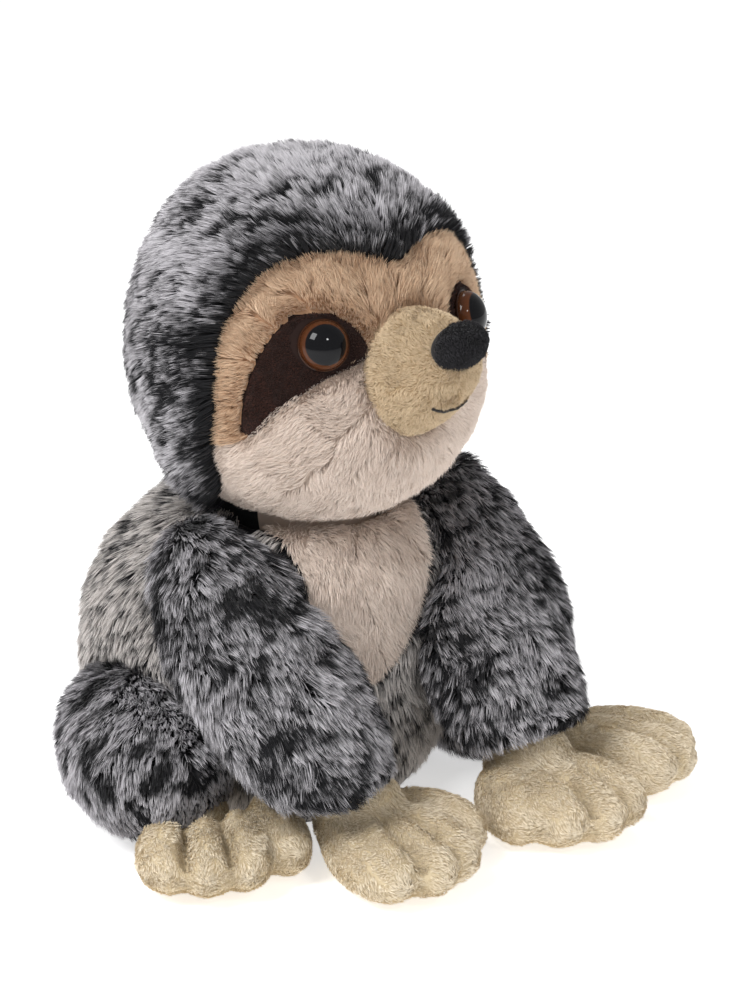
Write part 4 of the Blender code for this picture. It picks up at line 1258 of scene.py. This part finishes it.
class SLOTH_OT_body(Step, bpy.types.Operator):
    """Combs the back and the bib, and lays the base panel"""

    bl_idname = "sloth.body"
    bl_label = "Back, Bib and Base"

    def execute(self, context):
        piles = context.scene.sloth_piles
        cloths = materials()
        limbs = [f"{part}_{name}" for part in ("sleeve_skin", "leg_skin") for name in SIDES]
        around = tree_of("head_skin", *limbs)
        torso = skin("torso_skin")
        pile = Pile(piles.fur * 0.95, 0.00032, 5.6 * piles.closeness, lean=(26, 64), lock=0.0085)
        roots = Roots(torso, pile.closeness, 51)
        x, y, z = roots.toy.T
        fur = ~in_bib(roots.toy) & (from_neck(roots.toy) >= NECK_CLEAR)
        fur &= roots.normals[:, 2] > -0.75
        flow = np.stack([x * 6, (y - 0.02) * 6, np.full(len(x), -1.0)], 1)
        # The back's strands are lightened as a whole: painted light, added to the fur's own mottle.
        tone = mottle(roots.toy, z, 6) + 0.4
        for name, side in SIDES.items():
            made = comb(
                f"back_pile_{name}", roots, fur & (x * side >= 0), flow, pile, cloths["back"],
                52 + side, MOST["back"], tone=tone, around=around,
            )
            wear(made, "torso", "grey_fur", "back_fur")
        soft = soft_pile(
            piles.cheek * 1.1, 0.00026, 11 * piles.closeness, (32, 64), tuft=0.0011, lock=0.006
        )
        roots = Roots(torso, soft.closeness, 56)
        chosen = in_bib(roots.toy) & (from_neck(roots.toy) >= NECK_CLEAR)
        flow = roots.toy * (3, 0, 0) - (0, 0.1, 1)
        # The bib's strands are lightened: painted light against the head's shadow on the cream
        # pile.
        made = comb(
            "bib_pile", roots, chosen, flow, soft, cloths["cream"], 57, around=around, tone=1.5
        )
        wear(made, "torso", "cream_plush", "bib_panel")

        base = from_nodes("base_cloth", ("base_panel",))
        bevel = base.modifiers.new("soft edge", "BEVEL")
        bevel.width = 0.0004
        bevel.segments = 2
        bevel.limit_method = "ANGLE"
        apply_modifiers(base)
        base.data.materials.append(cloths["back"])
        wear(base, "torso", "grey_fur", "base_panel")
        return {"FINISHED"}


class SLOTH_OT_limbs(Step, bpy.types.Operator):
    """Combs the two sleeves and the two thighs"""

    bl_idname = "sloth.limbs"
    bl_label = "Sleeves and Thighs"

    def execute(self, context):
        piles = context.scene.sloth_piles
        cloth = materials()["fur"]
        pile = Pile(piles.fur, 0.00032, 6.6 * piles.closeness, lean=(26, 64), lock=0.0085)
        for name, side in SIDES.items():
            hand, foot = f"hand_{name}_skin", f"foot_{name}_skin"
            sleeve, leg = f"sleeve_skin_{name}", f"leg_skin_{name}"
            shoulder, end, hip = (
                Vector((p.x * side, p.y, p.z)) for p in (SHOULDER, SLEEVE_END, HIP)
            )
            way = np.array((end - shoulder).normalized())
            roots = Roots(skin(sleeve), pile.closeness, 61 + side)
            toy = roots.toy
            flow = way + unit(toy - np.array(shoulder)) * 0.5
            short = np.minimum(
                0.40 + 0.60 * smooth_step(0.006, 0.016, gap_to("head_skin", roots.places)),
                0.55 + 0.45 * smooth_step(0.004, 0.012, gap_to(hand, roots.places)),
            )
            # The hem rises ahead of the wrist, so that the hand can flex up
            hem = HEM_HEIGHT + 0.45 * np.maximum(WRISTS[name].y - toy[:, 1], 0)
            # The sleeves' strands are darkened as a whole: painted shade on the front-facing
            # sleeves, added to the fur's own mottle.
            made = comb(
                f"sleeve_pile_{name}", roots, roots.every(), flow, pile, cloth, 66 + side,
                MOST["sleeve"], tone=mottle(toy, toy @ way, 64 + side) - 0.3, scale=short,
                around=tree_of("torso_skin", "head_skin", leg, hand, foot), level=hem,
            )
            wear(made, f"arm_{name}", "grey_fur", f"sleeve_{name}")

            way = np.array((LEG_ENDS[name] - hip).normalized())
            roots = Roots(skin(leg), pile.closeness, 71 + side)
            toy = roots.toy
            flow = np.tile(way * 0.6 + (0, 0, -0.7), (len(toy), 1))
            flow[:, 0] += side * 0.2
            short = 0.30 + 0.70 * smooth_step(0.006, 0.018, gap_to(foot, roots.places))
            # The thighs' strands are lightened as a whole: painted light, added to the fur's own
            # mottle.
            made = comb(
                f"leg_pile_{name}", roots, roots.every(), flow, pile, cloth, 76 + side,
                MOST["leg"], tone=mottle(toy, toy[:, 2], 74 + side) + 0.5, scale=short,
                around=tree_of("torso_skin", sleeve, hand, foot),
            )
            wear(made, f"leg_{name}", "grey_fur", f"leg_fur_{name}")
        return {"FINISHED"}


class SLOTH_OT_paws(Step, bpy.types.Operator):
    """Makes the hands and feet: stuffed mitts with stitched grooves and short pile"""

    bl_idname = "sloth.paws"
    bl_label = "Hands and Feet"

    def execute(self, context):
        for name, side in SIDES.items():
            self.paw("hand", name, f"hand_{name}", WRISTS[name], 0, HAND_SIZE)
            self.paw("foot", name, f"leg_{name}", ANKLES[name], FOOT_YAW * side, FOOT_SIZE)
        return {"FINISHED"}

    def paw(self, kind, side_name, body, root, yaw, size):
        piles = bpy.context.scene.sloth_piles
        cloth = materials()["sand"]
        name = f"{kind}_{side_name}"
        made = from_nodes(f"{name}_skin", (name, f"{name}_stuffing"))
        remeshed(made, 0.0011, 8)
        moved_out(made, -0.0010)
        set_coordinates(made, coordinates(made) * (1, 1, PAW_STRETCH))
        place = Matrix.Translation(root + OFFSET) @ Matrix.Rotation(radians(yaw), 4, "Z")
        turn = np.array(place.inverted())
        length, width, radius = size

        def groove(points):
            """How deep in a stitched groove each point is, from 0 to 1."""
            own = points @ turn[:3, :3].T + turn[:3, 3]
            found = np.zeros(len(points))
            for line in (-0.138, 0.138):
                beside = np.abs(own[:, 0] - line * width * (0.7 - own[:, 1] / length * 0.5))
                found = np.maximum(found, peak(beside, 0.0016))
            start = smooth_step(0.25 * length, 0.45 * length, -own[:, 1])
            stop = fade(0.76 * length, 0.90 * length, -own[:, 1] + radius * 0.4)
            return found * start * np.clip(stop, 0.15, 1)

        up = smooth_step(0.2, 0.7, normals_of(made)[:, 2])
        stuffed(made, 3.0, PAW_SWELL, groove(coordinates(made)) * up)
        points = coordinates(made)
        points[:, 2] -= GROOVE_DEPTH * groove(points) * up
        points[:, 2] = np.maximum(points[:, 2], 0.0006)
        set_coordinates(made, points)
        made.data.materials.append(cloth)
        wear(made, body, "sand_plush", name, f"{name}_stuffing", fill=0.8)
        pile = soft_pile(
            piles.paw, 0.00024, 7.5 * piles.closeness, (45, 74), tuft_pull=0.25, sink=0.0002
        )
        around = tree_of(f"sleeve_skin_{side_name}", f"leg_skin_{side_name}")
        roots = Roots(made, pile.closeness, len(name) + 80)
        own = roots.places @ turn[:3, :3].T + turn[:3, 3]
        under = roots.normals[:, 2] < -0.6
        chosen = ~under | (np.arange(len(under)) % 2 == 0)
        ahead, across = (np.array(place.to_3x3() @ way) for way in (Vector((0, -1, 0)), ACROSS))
        flow = ahead + own[:, :1] * 12 * across
        grooved = groove(roots.places) * ~under
        # Strands in the stitched grooves are shorter and darker; the darkening is painted shade in
        # the creases.
        fur = comb(
            f"{name}_pile", roots, chosen, flow, pile, cloth, len(name) + 84, MOST["paw"],
            scale=1 - 0.5 * grooved, tone=-2.5 * grooved, around=around,
        )
        wear(fur, body, "sand_plush")


class SLOTH_OT_stage(Step, bpy.types.Operator):
    """Sets the pale floor, the soft lamps and the camera"""

    bl_idname = "sloth.stage"
    bl_label = "Stage"

    def execute(self, context):
        scene = context.scene
        scene.view_settings.view_transform = "Standard"
        deselect()
        bpy.ops.mesh.primitive_plane_add(size=6, location=(0, 0, 0))
        floor = context.object
        floor.name = "floor"
        floor.data.materials.append(self.floor_material())

        world = bpy.data.worlds.new("studio")
        scene.world = world
        world.use_nodes = True
        tree = world.node_tree
        tree.nodes.clear()
        white = (1, 1, 1, 1)
        light, seen = (
            node(tree, "ShaderNodeBackground", {"Color": white, "Strength": strength}).outputs[0]
            for strength in (0.47, 1.0)
        )
        to_camera = node(tree, "ShaderNodeLightPath").outputs["Is Camera Ray"]
        mix = node(tree, "ShaderNodeMixShader", {0: to_camera, 1: light, 2: seen})
        node(tree, "ShaderNodeOutputWorld", {"Surface": mix.outputs[0]})

        target = Vector((0, -0.020, 0.097)) + OFFSET
        for name, place, size, power in (
            ("key", (-0.95, -0.10, 1.0), 0.55, 13.5),
            ("fill", (-0.25, -1.05, 0.80), 0.13, 2.2),
            ("rim", (0.3, 0.75, 1.1), 0.6, 5.0),
        ):
            lamp = bpy.data.lights.new(name, "AREA")
            lamp.size = size
            lamp.energy = power
            holder = linked(name, lamp)
            holder.location = target + Vector(place)
            holder.rotation_euler = Vector(place).to_track_quat("Z", "Y").to_euler()

        camera = bpy.data.cameras.new("camera")
        camera.lens = 100
        camera.sensor_width = 36
        camera.clip_start = 0.05
        holder = linked("camera", camera)
        azimuth, elevation, distance = radians(-40), radians(18), 0.777
        flat = cos(elevation)
        back = Vector((sin(azimuth) * flat, -cos(azimuth) * flat, sin(elevation)))
        holder.location = target + back * distance
        holder.rotation_euler = back.to_track_quat("Z", "Y").to_euler()
        scene.camera = holder
        return {"FINISHED"}

    def floor_material(self):
        """White to the camera, and it keeps the toy's shadow."""
        made, tree, shader = new_material("studio floor")
        looks = {"Base Color": (0.93, 0.93, 0.93, 1), "Roughness": 0.9}
        fed(tree, shader, looks | {"Emission Color": (1, 1, 1, 1), "Emission Strength": 0.55})
        return made


class SLOTH_PT_panel(bpy.types.Panel):
    """Lists the steps in the order that they are made"""

    bl_label = "Plush Sloth"
    bl_idname = "SLOTH_PT_panel"
    bl_space_type = "VIEW_3D"
    bl_region_type = "UI"
    bl_category = "Sloth"

    def draw(self, context):
        for step in STEPS:
            self.layout.operator(step.bl_idname)
        for group in (context.scene.sloth_piles, context.scene.sloth_colours):
            for name in group.__annotations__:
                self.layout.prop(group, name)


STEPS = (
    SLOTH_OT_skins,
    SLOTH_OT_hood,
    SLOTH_OT_face,
    SLOTH_OT_eyes,
    SLOTH_OT_muzzle,
    SLOTH_OT_paws,
    SLOTH_OT_body,
    SLOTH_OT_limbs,
    SLOTH_OT_stage,
)
GROUPS = (SlothPiles, SlothColours)


def register():
    for item in (*GROUPS, *STEPS, SLOTH_PT_panel):
        bpy.utils.register_class(item)
    bpy.types.Scene.sloth_piles = bpy.props.PointerProperty(type=SlothPiles)
    bpy.types.Scene.sloth_colours = bpy.props.PointerProperty(type=SlothColours)


def unregister():
    del bpy.types.Scene.sloth_piles
    del bpy.types.Scene.sloth_colours
    for item in reversed((*GROUPS, *STEPS, SLOTH_PT_panel)):
        bpy.utils.unregister_class(item)


def main():
    register()
    bpy.ops.sloth.skins()
    bpy.ops.sloth.hood()
    bpy.ops.sloth.face()
    bpy.ops.sloth.eyes()
    bpy.ops.sloth.muzzle()
    bpy.ops.sloth.paws()
    bpy.ops.sloth.body()
    bpy.ops.sloth.limbs()
    bpy.ops.sloth.stage()


if __name__ == "__main__":
    main()
